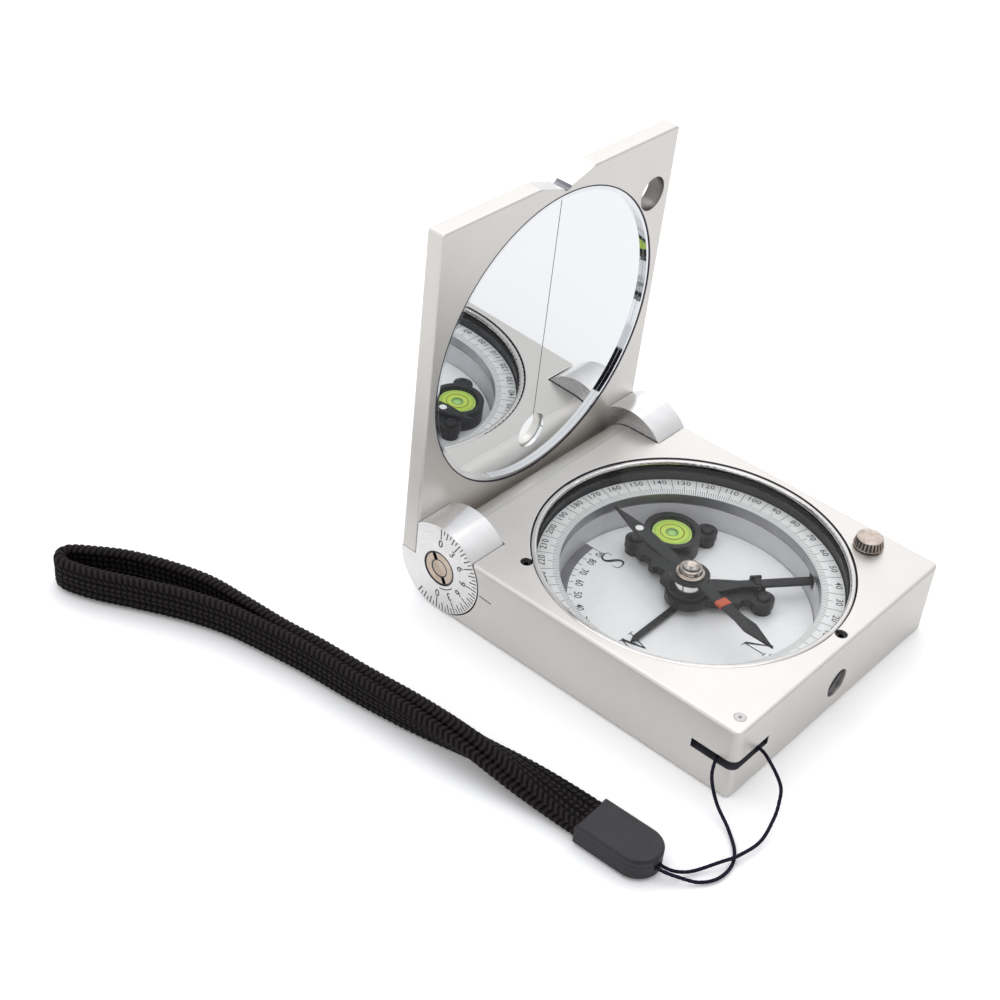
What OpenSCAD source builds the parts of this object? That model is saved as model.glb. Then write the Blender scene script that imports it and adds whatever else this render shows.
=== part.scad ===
// Geological compass with an open sighting lid, graduated hinge disc, rotating dial and wrist lanyard.
// Millimetres. X along the hinge, -Y the front edge, +Z up, bottom face at z = 0. The lid is drawn open.

/* [Case] */
// overall width across the hinge
case_width = 75; // [73:1:90]
// closed length from the front face to the back of the hinge
case_length = 90; // [88:1:108]
// height of the case block alone
case_height = 17.8; // [17.4:0.2:22]
// radius of the long edges
edge_r = 0.8; // [0.4:0.1:1.2]
// radius of the vertical corners seen from above
corner_r = 2; // [1.2:0.2:3]

/* [Chamber] */
// distance from the front face to the middle of the chamber
chamber_setback = 39.25; // [38.5:0.25:44]
// outer radius of the polished bezel
bezel_r = 35.3; // [34.5:0.1:36]
// radius of the lower chamber and of the hole in the dial
dial_inner_r = 28.6; // [28:0.1:29.2]
// thickness of the floor under the printed plate
floor_t = 2.6; // [2.2:0.1:3]
// height of the ledge that carries the dial
ledge_z = 9; // [8.8:0.1:9.2]

/* [Lid] */
// thickness of the lid plate
lid_t = 4.1; // [3.6:0.1:5]
// lid angle above the case, closed is 0
lid_angle = 88.5; // [0:0.5:179]
// radius of the round mirror
mirror_r = 34.8; // [30:0.1:35.4]
// distance from the hinge line to the middle of the mirror
mirror_s = 39.9; // [39:0.1:41]
// radius of the clear sighting window
window_r = 4.3; // [3:0.1:5]
// half width of the sighting notch
notch_half = 8.6; // [5:0.2:10]
// depth of the sighting notch
notch_deep = 3.1; // [1.5:0.1:3.3]

/* [Hinge] */
// width of each hinge disc
knuckle_w = 10.1; // [8:0.1:11.5]
// radius of each hinge pin
hinge_pin_r = 2.1; // [1.8:0.1:2.6]

/* [Dial] */
// teeth under the dial
crown_teeth = 84; // [80:1:85]
// teeth on the pinion
pinion_teeth = 8; // [8:1:8]
// tooth module of the dial drive
tooth_m = 0.75; // [0.74:0.01:0.76]

/* [Needle] */
// length of the needle from its centre to a tip
needle_half = 27.3; // [22:0.1:27.8]
// direction of the north tip
needle_deg = 256; // [0:1:359]
// radius of the needle's round hub
needle_hub_r = 4.4; // [4:0.1:5]

/* [Level and clinometer] */
// radius of the level's glass
vial_r = 5.2; // [4.6:0.1:5.4]
// reach of the clinometer pointer
pointer_reach = 19.5; // [15:0.5:20]

/* [Needle lock] */
// radius of the knurled head
knob_r = 3.4; // [3:0.1:3.6]
// flutes around the knurled head
knob_flutes = 24; // [18:1:28]
// tilt of the lifting lever at the end of the lock's half turn
lever_tilt = 2; // [1.6:0.1:2.2]

/* [Lanyard] */
// width of the flat strap
strap_w = 8; // [6:0.5:8]
// thickness of one layer of the strap
strap_t = 1.8; // [1.4:0.1:1.9]
// diameter of the thin string
string_d = 0.75; // [0.6:0.05:0.9]

/* [Hidden] */
$fn = 64;
run_gap = 0.05;
part_gap = 0.3;
touch = 0.02;
// case and hinge
half_w = case_width / 2;
front_y = -case_length / 2;
centre_y = front_y + chamber_setback;
hinge_z = (case_height + part_gap + lid_t) / 2;
hinge_y = case_length / 2 - hinge_z;
lid_plane = case_height + part_gap - hinge_z;
lid_len = hinge_y - front_y;
knuckle_r = hinge_z - 0.05;
lug_half = half_w - knuckle_w - part_gap;
barrel_r = case_height - hinge_z - 0.1;
pocket_gap = 0.35;
lip_y = hinge_y - 4;
nut_r = 4;
nut_t = 1.4;
washer_r = 4.5;
washer_t = 0.7;
// bezel stack
glass_t = 1.2;
bezel_top = case_height - 0.15;
glass_top = case_height - 0.9;
glass_z = glass_top - glass_t;
gasket_t = 0.5;
seat_z = glass_z - gasket_t;
bezel_bore = bezel_r + 0.1;
bezel_in = bezel_r - 1.4;
glass_r = bezel_r - 0.7;
bore_r = bezel_r - 0.7;
sleeve_in = bore_r - 0.6;
screw_ring_r = bezel_r + 1.35;
bezel_screw_deg = [273, 140.5];
// dial and its drive
dial_r = sleeve_in - part_gap;
dial_top = ledge_z + 3.1;
crown_r = crown_teeth * tooth_m / 2;
pinion_r = pinion_teeth * tooth_m / 2;
tooth_up = 0.8 * tooth_m;
tooth_down = 1.0 * tooth_m;
mesh_z = ledge_z + 1;
drive_z = mesh_z - pinion_r;
flank_deg = 28;
backlash = 0.12;
tooth_w = 3.14159 * tooth_m / 2 - backlash;
face_in = crown_r - 1.0;
face_out = crown_r + 1.2;
skirt_r = dial_inner_r + 1.4;
shaft_r = 1.5;
screw_head_r = 3.1;
screw_recess_r = 3.4;
recess_deep = 2.3;
// plate, post and needle
plate_t = 0.8;
plate_z = floor_t + plate_t;
plate_r = dial_inner_r - 0.2;
post_r = 1.8;
bracket_z = plate_z + 1.6;
bracket_top = bracket_z + 2.2;
lever_z = bracket_top + part_gap;
lever_t = 0.7;
lever_top = lever_z + lever_t;
lifter_z = lever_top + 0.25;
lifter_top = lifter_z + 2.8;
lifter_rise = 0.6;
needle_z = lifter_top + part_gap;
needle_t = 0.5;
cap_top = needle_z + 3.3;
post_top = needle_z - 0.8;
pivot_tip = needle_z + 1.7;
// level bracket
vial_at = [13.4, 14.35];
ear_deg = -33;
ear_reach = 8.6;
ear_r = 2.5;
ear_right = vial_at + ear_reach * [cos(ear_deg), sin(ear_deg)];
ear_left = vial_at - ear_reach * [cos(ear_deg), sin(ear_deg)];
cup_r = vial_r + 1.35;
cup_top = plate_z + 5;
// needle lock, laid out along the line from the centre to the knob
knob_at = [31.2, -24.75];
knob_reach = norm(knob_at);
lever_deg = atan2(knob_at[1], knob_at[0]);
pivot_reach = 16;
ear_far = [16.9 * cos(lever_deg - 12.6), 16.9 * sin(lever_deg - 12.6)];
lever_half = 1.1;
cheek_t = 0.6;
lever_pin_r = 0.45;
boss_r = 0.95;
pin_z = lever_z + lever_t / 2;
stem_r = 2.2;
stem_tip_r = 1.9;
cam_at = 1.6;
cam_slope = atan((knob_reach - cam_at - pivot_reach) * tan(lever_tilt) / (2 * cam_at));
cam_z = lever_top + 0.4 - cam_at * tan(cam_slope);
head_z = case_height + part_gap;
head_h = 2.3;
knob_top_r = knob_r - 0.45;
knob_bore = knob_r - 0.2;
flange_top = case_height - 5;
// lanyard corner
lanyard_at = [-half_w + 4.1, front_y + 3.2];
lanyard_pin_r = 1.2;
slot_r = 8.3;
slot_h = 2.2;
slot_mid = 8.7;
// lanyard route: [x, y, z] of each string, then the clasp, then [x, y, z, roll, spread] of the strap
string_left_route = [
  [-32.2, -40.6, 8.7], [-33.8, -40.0, 8.7], [-35.6, -40.2, 8.7], [-38.2, -41.0, 8.3], [-40.6, -42.4, 6.4],
  [-42.2, -45.4, 3.0], [-44.2, -50.0, 0.9], [-47.6, -54.0, 0.5], [-51.4, -55.8, 0.5], [-55.6, -55.6, 0.5],
  [-58.8, -53.6, 0.6], [-61.2, -50.8, 1.6], [-63.0, -48.2, 2.6], [-63.1, -46.0, 2.7]
];
string_right_route = [
  [-32.2, -40.6, 8.7], [-31.0, -42.0, 8.6], [-28.7, -45.0, 8.2], [-29.9, -48.6, 7.8], [-32.2, -52.9, 6.3],
  [-34.7, -54.6, 4.6], [-37.5, -55.6, 2.9], [-42.6, -56.4, 1.3], [-48.6, -55.6, 1.5], [-52.6, -54.0, 1.5],
  [-57.4, -51.4, 0.8], [-60.4, -49.6, 1.6], [-62.0, -47.9, 2.6], [-62.1, -46.0, 2.7]
];
clasp_at = [-63.1, -30.4];
clasp_deg = -88;
clasp_w = 10;
clasp_l = 16.4;
clasp_h = 5;
clasp_split = 3.5;
clasp_low = 0.2;
clasp_seam = 0.1;
clasp_mouth = 3.6;
strap_route = [
  [-63.0, -33.6, 2.7, 90, 1.95], [-63.3, -27.0, 2.7, 90, 2.15], [-64.5, -16.0, 3.6, 68, 2.4],
  [-66.2, -3.0, 4.8, 38, 2.6], [-68.0, 11.0, 4.7, 14, 2.6], [-69.8, 25.0, 4.5, 4, 2.5],
  [-70.9, 37.0, 4.4, 0, 2.5], [-72.4, 47.0, 4.4, 0, 2.7], [-74.0, 58.0, 4.4, 0, 4.1],
  [-76.4, 68.0, 4.4, 0, 6.7], [-80.6, 78.0, 4.4, 0, 8.5], [-84.7, 86.0, 4.4, 0, 9.0]
];
strap_turn = [[-91.6, 92.6, 4.4], [-90.8, 95.6, 4.4], [-88.2, 95.9, 4.4], [-84.6, 92.0, 4.4]];

// rectangle with round corners from low to high
module round_rect(low, high, r) {
  translate([low[0] + r, low[1]])
    square([high[0] - low[0] - 2 * r, high[1] - low[1]]);
  translate([low[0], low[1] + r])
    square([high[0] - low[0], high[1] - low[1] - 2 * r]);
  for (x = [low[0] + r, high[0] - r])
    for (y = [low[1] + r, high[1] - r])
      translate([x, y])
        circle(r = r, $fn = 32);
}

// block whose long edges and vertical corners are round
module soft_block(low, high, r, rv) {
  intersection() {
    translate([0, 0, low[2]])
      linear_extrude(height = high[2] - low[2])
        round_rect([low[0], low[1]], [high[0], high[1]], rv);
    translate([0, high[1], 0])
      rotate([90, 0, 0])
        linear_extrude(height = high[1] - low[1])
          round_rect([low[0], low[2]], [high[0], high[2]], r);
    translate([low[0], 0, 0])
      rotate([90, 0, 90])
        linear_extrude(height = high[0] - low[0])
          round_rect([low[1], low[2]], [high[1], high[2]], r);
  }
}

// cylinder along X between two x values, on the hinge line
module hinge_cylinder(r, x0, x1) {
  translate([x0, hinge_y, hinge_z])
    rotate([0, 90, 0])
      cylinder(r = r, h = x1 - x0);
}

// cylinder along Y between two y values, on the dial drive's axis
module drive_cylinder(r, y0, y1) {
  translate([0, y0, drive_z])
    rotate([-90, 0, 0])
      cylinder(r = r, h = y1 - y0);
}

// puts children at the middle of the chamber
module at_centre(z = 0) {
  translate([0, centre_y, z])
    children();
}

// puts children on the line from the centre to the lock knob
module on_lever(z = 0) {
  at_centre(z)
    rotate([0, 0, lever_deg])
      children();
}

// ring with a square section
module flat_ring(r_out, r_in, h) {
  difference() {
    cylinder(r = r_out, h = h, $fn = 96);
    translate([0, 0, -1])
      cylinder(r = r_in, h = h + 2, $fn = 96);
  }
}

// moves the lid from closed to its drawn angle
module lid_pose() {
  translate([0, hinge_y, hinge_z])
    rotate([-lid_angle, 0, 0])
      translate([0, -hinge_y, -hinge_z])
        children();
}

module case_block() {
  color([0.86, 0.86, 0.85])
    difference() {
      union() {
        difference() {
          soft_block([-half_w, front_y, 0], [half_w, hinge_y + 8, case_height], edge_r, corner_r);
          translate([-half_w - 1, hinge_y, -1])
            cube([case_width + 2, 20, case_height + 2]);
          translate([-half_w - 1, hinge_y - 0.4, -1])
            cube([case_width + 2, 20, hinge_z + 1]);
        }
        hinge_cylinder(barrel_r, -lug_half, lug_half);
      }
      knuckle_pockets();
      chamber_cuts();
      drive_cuts();
      lock_cuts();
      lanyard_cuts();
      hinge_cuts();
    }
}

module knuckle_pockets() {
  for (x0 = [-half_w - 1, lug_half]) {
    hinge_cylinder(knuckle_r + pocket_gap, x0, x0 + half_w + 1 - lug_half);
    translate([x0, lip_y, -1])
      cube([half_w + 1 - lug_half, 30, case_height + 2]);
  }
}

module chamber_cuts() {
  at_centre() {
    translate([0, 0, seat_z])
      cylinder(r = bezel_bore, h = 10, $fn = 128);
    translate([0, 0, ledge_z])
      cylinder(r = bore_r + touch, h = 10, $fn = 128);
    translate([0, 0, floor_t])
      cylinder(r = dial_inner_r, h = 12, $fn = 128);
    for (a = bezel_screw_deg)
      rotate([0, 0, a])
        translate([screw_ring_r, 0, case_height - 3.6])
          cylinder(r = 1.35, h = 5, $fn = 32);
    translate([0, 0, 1])
      cylinder(r = 1.2 + touch, h = 3, $fn = 32);
    for (p = [ear_right, ear_left, ear_far])
      translate([p[0], p[1], 1])
        cylinder(r = 0.9 + touch, h = 4, $fn = 24);
  }
}

module drive_cuts() {
  drive_cylinder(screw_recess_r, front_y - 1, front_y + recess_deep);
  drive_cylinder(2.2 + touch, front_y, front_y + 4.4);
  drive_cylinder(shaft_r + 0.15, front_y, centre_y - face_in + 0.2);
  drive_cylinder(pinion_r + tooth_up + part_gap, centre_y - face_out - part_gap, centre_y - face_in + part_gap);
}

module lock_cuts() {
  on_lever() {
    translate([knob_reach, 0, flange_top - 1.1])
      cylinder(r = knob_bore + touch, h = 20);
    translate([knob_reach, 0, 6.2])
      cylinder(r = stem_r + run_gap, h = 12);
    translate([dial_inner_r - 1, -1.5, 6.2])
      cube([knob_reach - dial_inner_r, 3, ledge_z - 6.2]);
  }
}

module lanyard_cuts() {
  translate([lanyard_at[0], lanyard_at[1], slot_mid - slot_h / 2])
    cylinder(r = slot_r, h = slot_h);
  translate([lanyard_at[0], lanyard_at[1], 3])
    cylinder(r = lanyard_pin_r + touch, h = 20, $fn = 32);
}

module hinge_cuts() {
  for (s = [-1, 1]) {
    mirror([s < 0 ? 1 : 0, 0, 0]) {
      hinge_cylinder(hinge_pin_r + touch, lug_half - 9, lug_half + 1);
      hinge_cylinder(washer_r + 0.1, lug_half - washer_t, lug_half + 1);
    }
  }
}

module bezel_ring() {
  color([0.93, 0.94, 0.95])
    at_centre()
      rotate_extrude($fn = 128) {
        difference() {
          union() {
            translate([bezel_in, glass_z])
              square([bezel_r - bezel_in, bezel_top - glass_z - 0.5]);
            translate([bezel_in + 0.45, bezel_top - 0.55])
              square([bezel_r - bezel_in - 0.95, 0.55]);
            translate([bezel_in + 0.5, bezel_top - 0.5])
              circle(r = 0.5, $fn = 32);
            translate([bezel_r - 0.5, bezel_top - 0.5])
              circle(r = 0.5, $fn = 32);
          }
          translate([bezel_in - 1, glass_z - 1])
            square([glass_r + touch - bezel_in + 1, glass_t + 1 + touch]);
        }
      }
}

module window_glass() {
  color([0.8, 0.9, 0.9, 0.4])
    at_centre(glass_z)
      cylinder(r = glass_r, h = glass_t, $fn = 128);
}

module glass_gasket() {
  color([0.08, 0.08, 0.08])
    at_centre(seat_z)
      flat_ring(bezel_r, bezel_in, gasket_t - touch);
}

module chamber_sleeve() {
  color([0.15, 0.15, 0.16])
    at_centre()
      rotate_extrude($fn = 128)
        polygon([[sleeve_in, ledge_z + touch], [bore_r, ledge_z + touch], [bore_r, seat_z - touch],
          [sleeve_in - 0.3, seat_z - touch], [sleeve_in - 0.3, seat_z - 0.6], [sleeve_in, seat_z - 1.2]]);
}

module bezel_screws() {
  color([0.1, 0.1, 0.12])
    at_centre()
      for (a = bezel_screw_deg)
        rotate([0, 0, a])
          translate([screw_ring_r, 0, case_height - 3.6])
            difference() {
              cylinder(r = 1.3, h = 3, $fn = 32);
              translate([0, 0, 2])
                cylinder(r = 0.6, h = 2, $fn = 16);
            }
}

module scale_plate() {
  color([0.93, 0.94, 0.95])
    at_centre(floor_t + touch)
      difference() {
        cylinder(r = plate_r, h = plate_t - 2 * touch, $fn = 96);
        translate([0, 0, -1])
          cylinder(r = 1.2 + touch, h = 4, $fn = 32);
        for (p = [ear_right, ear_left, ear_far])
          translate([p[0], p[1], -1])
            cylinder(r = 0.9 + touch, h = 4, $fn = 24);
      }
}

module centre_post() {
  color([0.85, 0.86, 0.87])
    at_centre() {
      difference() {
        union() {
          translate([0, 0, 1])
            cylinder(r = 1.2, h = plate_z);
          translate([0, 0, plate_z])
            cylinder(r = 3, h = 0.4);
          translate([0, 0, plate_z])
            cylinder(r = post_r, h = post_top - plate_z);
        }
        translate([0, 0, post_top - 2])
          cylinder(r = 0.5 + touch, h = 4, $fn = 24);
      }
    }
}

module pivot_point() {
  color([0.6, 0.6, 0.62])
    at_centre() {
      translate([0, 0, post_top - 2])
        cylinder(r = 0.5, h = pivot_tip - post_top + 1, $fn = 24);
      translate([0, 0, pivot_tip - 1])
        cylinder(r1 = 0.5, r2 = 0.06, h = 1, $fn = 24);
    }
}

// flat bar between two plan points
module bar_between(a, b, w) {
  d = b - a;
  translate([a[0], a[1]])
    rotate([0, 0, atan2(d[1], d[0])])
      translate([0, -w / 2])
        square([norm(d), w]);
}

// plan outline of the bracket's web: hub, arm to the far ear, arm and scalloped edge to the level
module web_outline() {
  difference() {
    union() {
      circle(r = 4.8);
      bar_between([0, 0], ear_far, 5.4);
      bar_between([0, 0], 0.93 * ear_left, 4.6);
      bar_between([2.5, 1.5], vial_at, 5.6);
      bar_between(ear_left, ear_right, 4.4);
      for (p = [ear_right, ear_left, ear_far])
        translate([p[0], p[1]])
          circle(r = ear_r, $fn = 48);
    }
    for (p = [[0.6, 8.6], [1.6, 13.2], [2.4, 17.4]])
      translate([p[0], p[1]])
        circle(r = 1.5, $fn = 32);
    rotate([0, 0, lever_deg])
      translate([12.2, -5.3])
        circle(r = 1.4, $fn = 32);
  }
}

// two small cheeks that hold the lever's pin, joined by a low foot
module lever_cheeks() {
  inner = lever_half + 0.25;
  foot_h = lever_z - boss_r - 0.15 - plate_z;
  rotate([0, 0, lever_deg])
    difference() {
      translate([pivot_reach - 1.3, -inner - cheek_t, plate_z])
        cube([2.6, 2 * (inner + cheek_t), pin_z + 0.9 - plate_z]);
      translate([pivot_reach - 3, -inner, plate_z + foot_h])
        cube([6, 2 * inner, 10]);
      translate([pivot_reach, -5, pin_z])
        rotate([-90, 0, 0])
          cylinder(r = lever_pin_r + touch, h = 10, $fn = 24);
    }
}

module level_bracket() {
  ear_h = bracket_top - bracket_z - 0.2;
  color([0.12, 0.12, 0.13])
    at_centre() {
      difference() {
        union() {
          translate([0, 0, bracket_z])
            linear_extrude(height = ear_h)
              web_outline();
          translate([0, 0, bracket_z])
            cylinder(r = 4.4, h = ear_h + 0.2);
          for (p = [ear_right, ear_left, ear_far])
            translate([p[0], p[1], plate_z])
              cylinder(r = ear_r - 0.3, h = bracket_z - plate_z + 0.5, $fn = 48);
          translate([vial_at[0], vial_at[1], plate_z])
            cylinder(r = cup_r, h = cup_top - plate_z, $fn = 96);
        }
        translate([0, 0, plate_z - 1])
          cylinder(r = post_r + touch, h = 10);
        translate([vial_at[0], vial_at[1], plate_z + 0.8])
          cylinder(r = vial_r + touch, h = 10, $fn = 96);
        for (p = [ear_right, ear_left, ear_far])
          translate([p[0], p[1], plate_z - 1])
            cylinder(r = 0.9 + touch, h = 10, $fn = 24);
        rotate([0, 0, lever_deg])
          translate([pivot_reach - 1.3 - touch, -lever_half - 0.25 - cheek_t - touch, plate_z - 1])
            cube([2.6 + 2 * touch, 2 * (lever_half + 0.25 + cheek_t + touch), 10]);
      }
    }
}

module lever_stand() {
  color([0.12, 0.12, 0.13])
    at_centre()
      lever_cheeks();
}

module bracket_screws() {
  color([0.1, 0.1, 0.11])
    at_centre()
      for (p = [ear_right, ear_left, ear_far])
        translate([p[0], p[1], bracket_top - 0.2])
          difference() {
            union() {
              translate([0, 0, 1.2 - bracket_top + 0.2])
                cylinder(r = 0.9, h = bracket_top - 1.2, $fn = 24);
              translate([0, 0, touch])
                cylinder(r = 1.55, h = 0.45, $fn = 32);
              translate([0, 0, 0.45])
                cylinder(r1 = 1.55, r2 = 1.1, h = 0.4, $fn = 32);
            }
            for (a = [0, 90])
              rotate([0, 0, a + 20])
                translate([-0.9, -0.17, 0.4])
                  cube([1.8, 0.34, 2]);
          }
}

module level_vial() {
  color([0.85, 0.95, 0.6, 0.4])
    at_centre(plate_z + 0.8 + touch)
      translate([vial_at[0], vial_at[1], 0])
        difference() {
          union() {
            cylinder(r = vial_r, h = 3.9, $fn = 96);
            translate([0, 0, 3.9])
              cylinder(r1 = vial_r, r2 = vial_r - 0.5, h = 0.3, $fn = 96);
          }
          translate([0, 0, 0.7])
            cylinder(r = vial_r - 0.7, h = 2.6, $fn = 96);
        }
}

module level_fluid() {
  color([0.72, 0.85, 0.2])
    at_centre(plate_z + 0.8 + touch)
      translate([vial_at[0], vial_at[1], 0])
        difference() {
          translate([0, 0, 0.72])
            cylinder(r = vial_r - 0.72, h = 2.56, $fn = 96);
          translate([0, 0, 3.28])
            scale([1, 1, 0.45])
              sphere(r = 1.3, $fn = 32);
        }
}

module lever_pin() {
  span = lever_half + 0.25 + cheek_t;
  color([0.6, 0.6, 0.6])
    on_lever()
      translate([pivot_reach, -span, pin_z])
        rotate([-90, 0, 0])
          cylinder(r = lever_pin_r, h = 2 * span, $fn = 24);
}

module lanyard_pin() {
  color([0.8, 0.8, 0.8])
    translate([lanyard_at[0], lanyard_at[1], 3.1])
      cylinder(r = lanyard_pin_r, h = case_height - 3.15, $fn = 32);
}

module hinge_pins() {
  color([0.8, 0.76, 0.68])
    for (s = [0, 1])
      mirror([s, 0, 0])
        hinge_cylinder(hinge_pin_r, lug_half - 8.8, half_w - 0.15);
}

module hinge_nuts() {
  color([0.8, 0.76, 0.68])
    for (s = [0, 1])
      mirror([s, 0, 0])
        difference() {
          hinge_cylinder(nut_r, half_w - nut_t - 0.1, half_w - 0.1);
          hinge_cylinder(hinge_pin_r + touch, half_w - 5, half_w + 1);
          translate([half_w - 0.9, hinge_y, hinge_z])
            rotate([-28, 0, 0])
              translate([0, -0.5, -5])
                cube([2, 1, 10]);
        }
}

module hinge_washers() {
  color([0.7, 0.7, 0.7])
    for (s = [0, 1])
      mirror([s, 0, 0])
        difference() {
          hinge_cylinder(washer_r, lug_half - washer_t + touch, lug_half);
          hinge_cylinder(hinge_pin_r + touch, lug_half - 5, lug_half + 1);
        }
}

module pinion_bush() {
  color([0.78, 0.68, 0.42])
    difference() {
      drive_cylinder(2.2, front_y + recess_deep + touch, front_y + 4.4);
      drive_cylinder(shaft_r + run_gap, front_y, front_y + 6);
    }
}

module knob_bush() {
  color([0.78, 0.68, 0.42])
    on_lever(flange_top + part_gap)
      translate([knob_reach, 0, 0])
        difference() {
          cylinder(r = knob_bore, h = case_height - flange_top - part_gap - touch);
          translate([0, 0, -1])
            cylinder(r = stem_r + run_gap, h = 10);
        }
}

module lid_plate() {
  low = case_height + part_gap;
  high = low + lid_t;
  color([0.87, 0.87, 0.86])
    lid_pose()
      difference() {
        soft_block([-half_w, front_y, low], [half_w, hinge_y + 8, high], 0.5, corner_r / 2);
        translate([-half_w - 1, hinge_y, low - 1])
          cube([case_width + 2, 20, lid_t + 2]);
        translate([0, hinge_y - mirror_s, low - 1])
          cylinder(r = mirror_r + 0.35, h = 3.2, $fn = 128);
        translate([0, hinge_y - mirror_s + mirror_r - window_r - 5, low])
          cylinder(r = window_r - 0.4, h = lid_t + 1);
        at_centre(low - 1)
          translate([knob_at[0], knob_at[1], 0])
            cylinder(r = knob_r + 0.65, h = lid_t + 2);
        translate([0, 0, low - 1])
          linear_extrude(height = lid_t + 2)
            notch_outline();
        for (x = [-1, 1])
          for (dx = [-2.2, 2.2])
            translate([x * (half_w - knuckle_w / 2) + dx, hinge_y - 4.4, low - 1])
              cylinder(r = 1 + touch, h = lid_t + 2, $fn = 24);
        for (x = [-1, 1])
          for (dx = [-2.2, 2.2])
            translate([x * (half_w - knuckle_w / 2) + dx, hinge_y - 4.4, high - 1.2])
              cylinder(r1 = 1 + touch, r2 = 2.15, h = 1.2 + touch, $fn = 32);
      }
}

module notch_outline() {
  bottom_r = 1.3;
  top = front_y + notch_deep;
  polygon([[-notch_half, front_y - 1], [-notch_half, front_y], [-bottom_r * 0.94, top - bottom_r + 0.46],
    [bottom_r * 0.94, top - bottom_r + 0.46], [notch_half, front_y], [notch_half, front_y - 1]]);
  translate([0, top - bottom_r])
    circle(r = bottom_r, $fn = 32);
}

module mirror_disc(r, z0, h) {
  translate([0, hinge_y - mirror_s, case_height + part_gap + z0])
    cylinder(r = r, h = h, $fn = 128);
}

module window_disc(r, z0, h) {
  translate([0, hinge_y - mirror_s + mirror_r - window_r - 5, case_height + part_gap + z0])
    cylinder(r = r, h = h);
}

module mirror_glass() {
  color([0.9, 0.93, 0.95])
    lid_pose()
      difference() {
        mirror_disc(mirror_r, 1.15, 1);
        window_disc(window_r + touch, 0, 3);
      }
}

module sight_window() {
  color([0.85, 0.93, 0.93, 0.4])
    lid_pose()
      window_disc(window_r, 1.15, 1);
}

module mirror_ring() {
  color([0.9, 0.91, 0.92])
    lid_pose()
      difference() {
        mirror_disc(mirror_r + 0.3, 0.15, 1 - touch);
        mirror_disc(mirror_r - 0.6, -1, 4);
      }
}

// one hinge disc, drawn on the +X side
module knuckle() {
  low = case_height + part_gap;
  difference() {
    hinge_cylinder(knuckle_r, half_w - knuckle_w, half_w);
    translate([half_w - knuckle_w - 1, hinge_y - 30, low - touch])
      cube([knuckle_w + 2, 30 + touch, 30]);
    hinge_cylinder(hinge_pin_r + run_gap, half_w - knuckle_w - 1, half_w + 1);
    hinge_cylinder(nut_r + 0.2, half_w - nut_t - 0.4, half_w + 1);
    for (dx = [-2.2, 2.2])
      translate([half_w - knuckle_w / 2 + dx, hinge_y - 4.4, hinge_z + hinge_pin_r + 1])
        cylinder(r = 1 + touch, h = 20, $fn = 24);
  }
}

module knuckle_left() {
  color([0.9, 0.9, 0.9])
    lid_pose()
      mirror([1, 0, 0])
        knuckle();
}

module knuckle_right() {
  color([0.9, 0.9, 0.9])
    lid_pose()
      knuckle();
}

module knuckle_screws() {
  low = hinge_z + hinge_pin_r + 1.1;
  high = case_height + part_gap + lid_t;
  color([0.75, 0.75, 0.76])
    lid_pose()
      for (x = [-1, 1])
        for (dx = [-2.2, 2.2])
          translate([x * (half_w - knuckle_w / 2) + dx, hinge_y - 4.4, 0])
            difference() {
              union() {
                translate([0, 0, low])
                  cylinder(r = 1, h = high - 1.2 - low, $fn = 24);
                translate([0, 0, high - 1.2])
                  cylinder(r1 = 1, r2 = 2, h = 1.1, $fn = 32);
              }
              translate([-3, -0.25, high - 0.6])
                cube([6, 0.5, 2]);
            }
}

module dial_ring() {
  root_z = mesh_z + tooth_down;
  half_p = tooth_w / 2;
  up = tooth_up * tan(flank_deg);
  down = tooth_down * tan(flank_deg);
  color([0.9, 0.94, 0.92])
    at_centre() {
      rotate_extrude($fn = 128)
        polygon([[dial_inner_r, ledge_z + part_gap], [skirt_r, ledge_z + part_gap], [skirt_r, root_z],
          [dial_r, root_z], [dial_r, dial_top], [dial_inner_r + 0.35, dial_top],
          [dial_inner_r, dial_top - 0.35]]);
      for (j = [0 : crown_teeth - 1])
        rotate([0, 0, 270 + j * 360 / crown_teeth])
          translate([face_in, 0, mesh_z])
            rotate([90, 0, 90])
              linear_extrude(height = face_out - face_in)
                polygon([[-half_p + up, -tooth_up], [half_p - up, -tooth_up],
                  [half_p + down, tooth_down + 0.1], [-half_p - down, tooth_down + 0.1]]);
    }
}

function involute(deg) = tan(deg) * 180 / PI - deg;

function tooth_half(r) =
  tooth_w / 2 / pinion_r * 180 / PI + involute(flank_deg)
  - involute(acos(min(1, pinion_r * cos(flank_deg) / r)));

function on_circle(r, deg) = [r * cos(deg), r * sin(deg)];

function pinion_outline() =
  let (base = pinion_r * cos(flank_deg), tip = pinion_r + tooth_up, root = pinion_r - tooth_down, n = 5)
  [for (k = [0 : pinion_teeth - 1])
    let (mid = 90 + (k + 0.5) * 360 / pinion_teeth)
    each concat(
      [on_circle(root, mid - 180 / pinion_teeth), on_circle(root, mid - tooth_half(base))],
      [for (i = [0 : n]) let (r = base + (tip - base) * i / n) on_circle(r, mid - tooth_half(r))],
      [for (i = [n : -1 : 0]) let (r = base + (tip - base) * i / n) on_circle(r, mid + tooth_half(r))],
      [on_circle(root, mid + tooth_half(base))])];

module dial_pinion() {
  color([0.78, 0.68, 0.42])
    translate([0, centre_y - face_in, drive_z])
      rotate([90, 0, 0])
        linear_extrude(height = face_out - face_in)
          difference() {
            polygon(pinion_outline());
            circle(r = shaft_r + touch, $fn = 48);
          }
}

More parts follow.
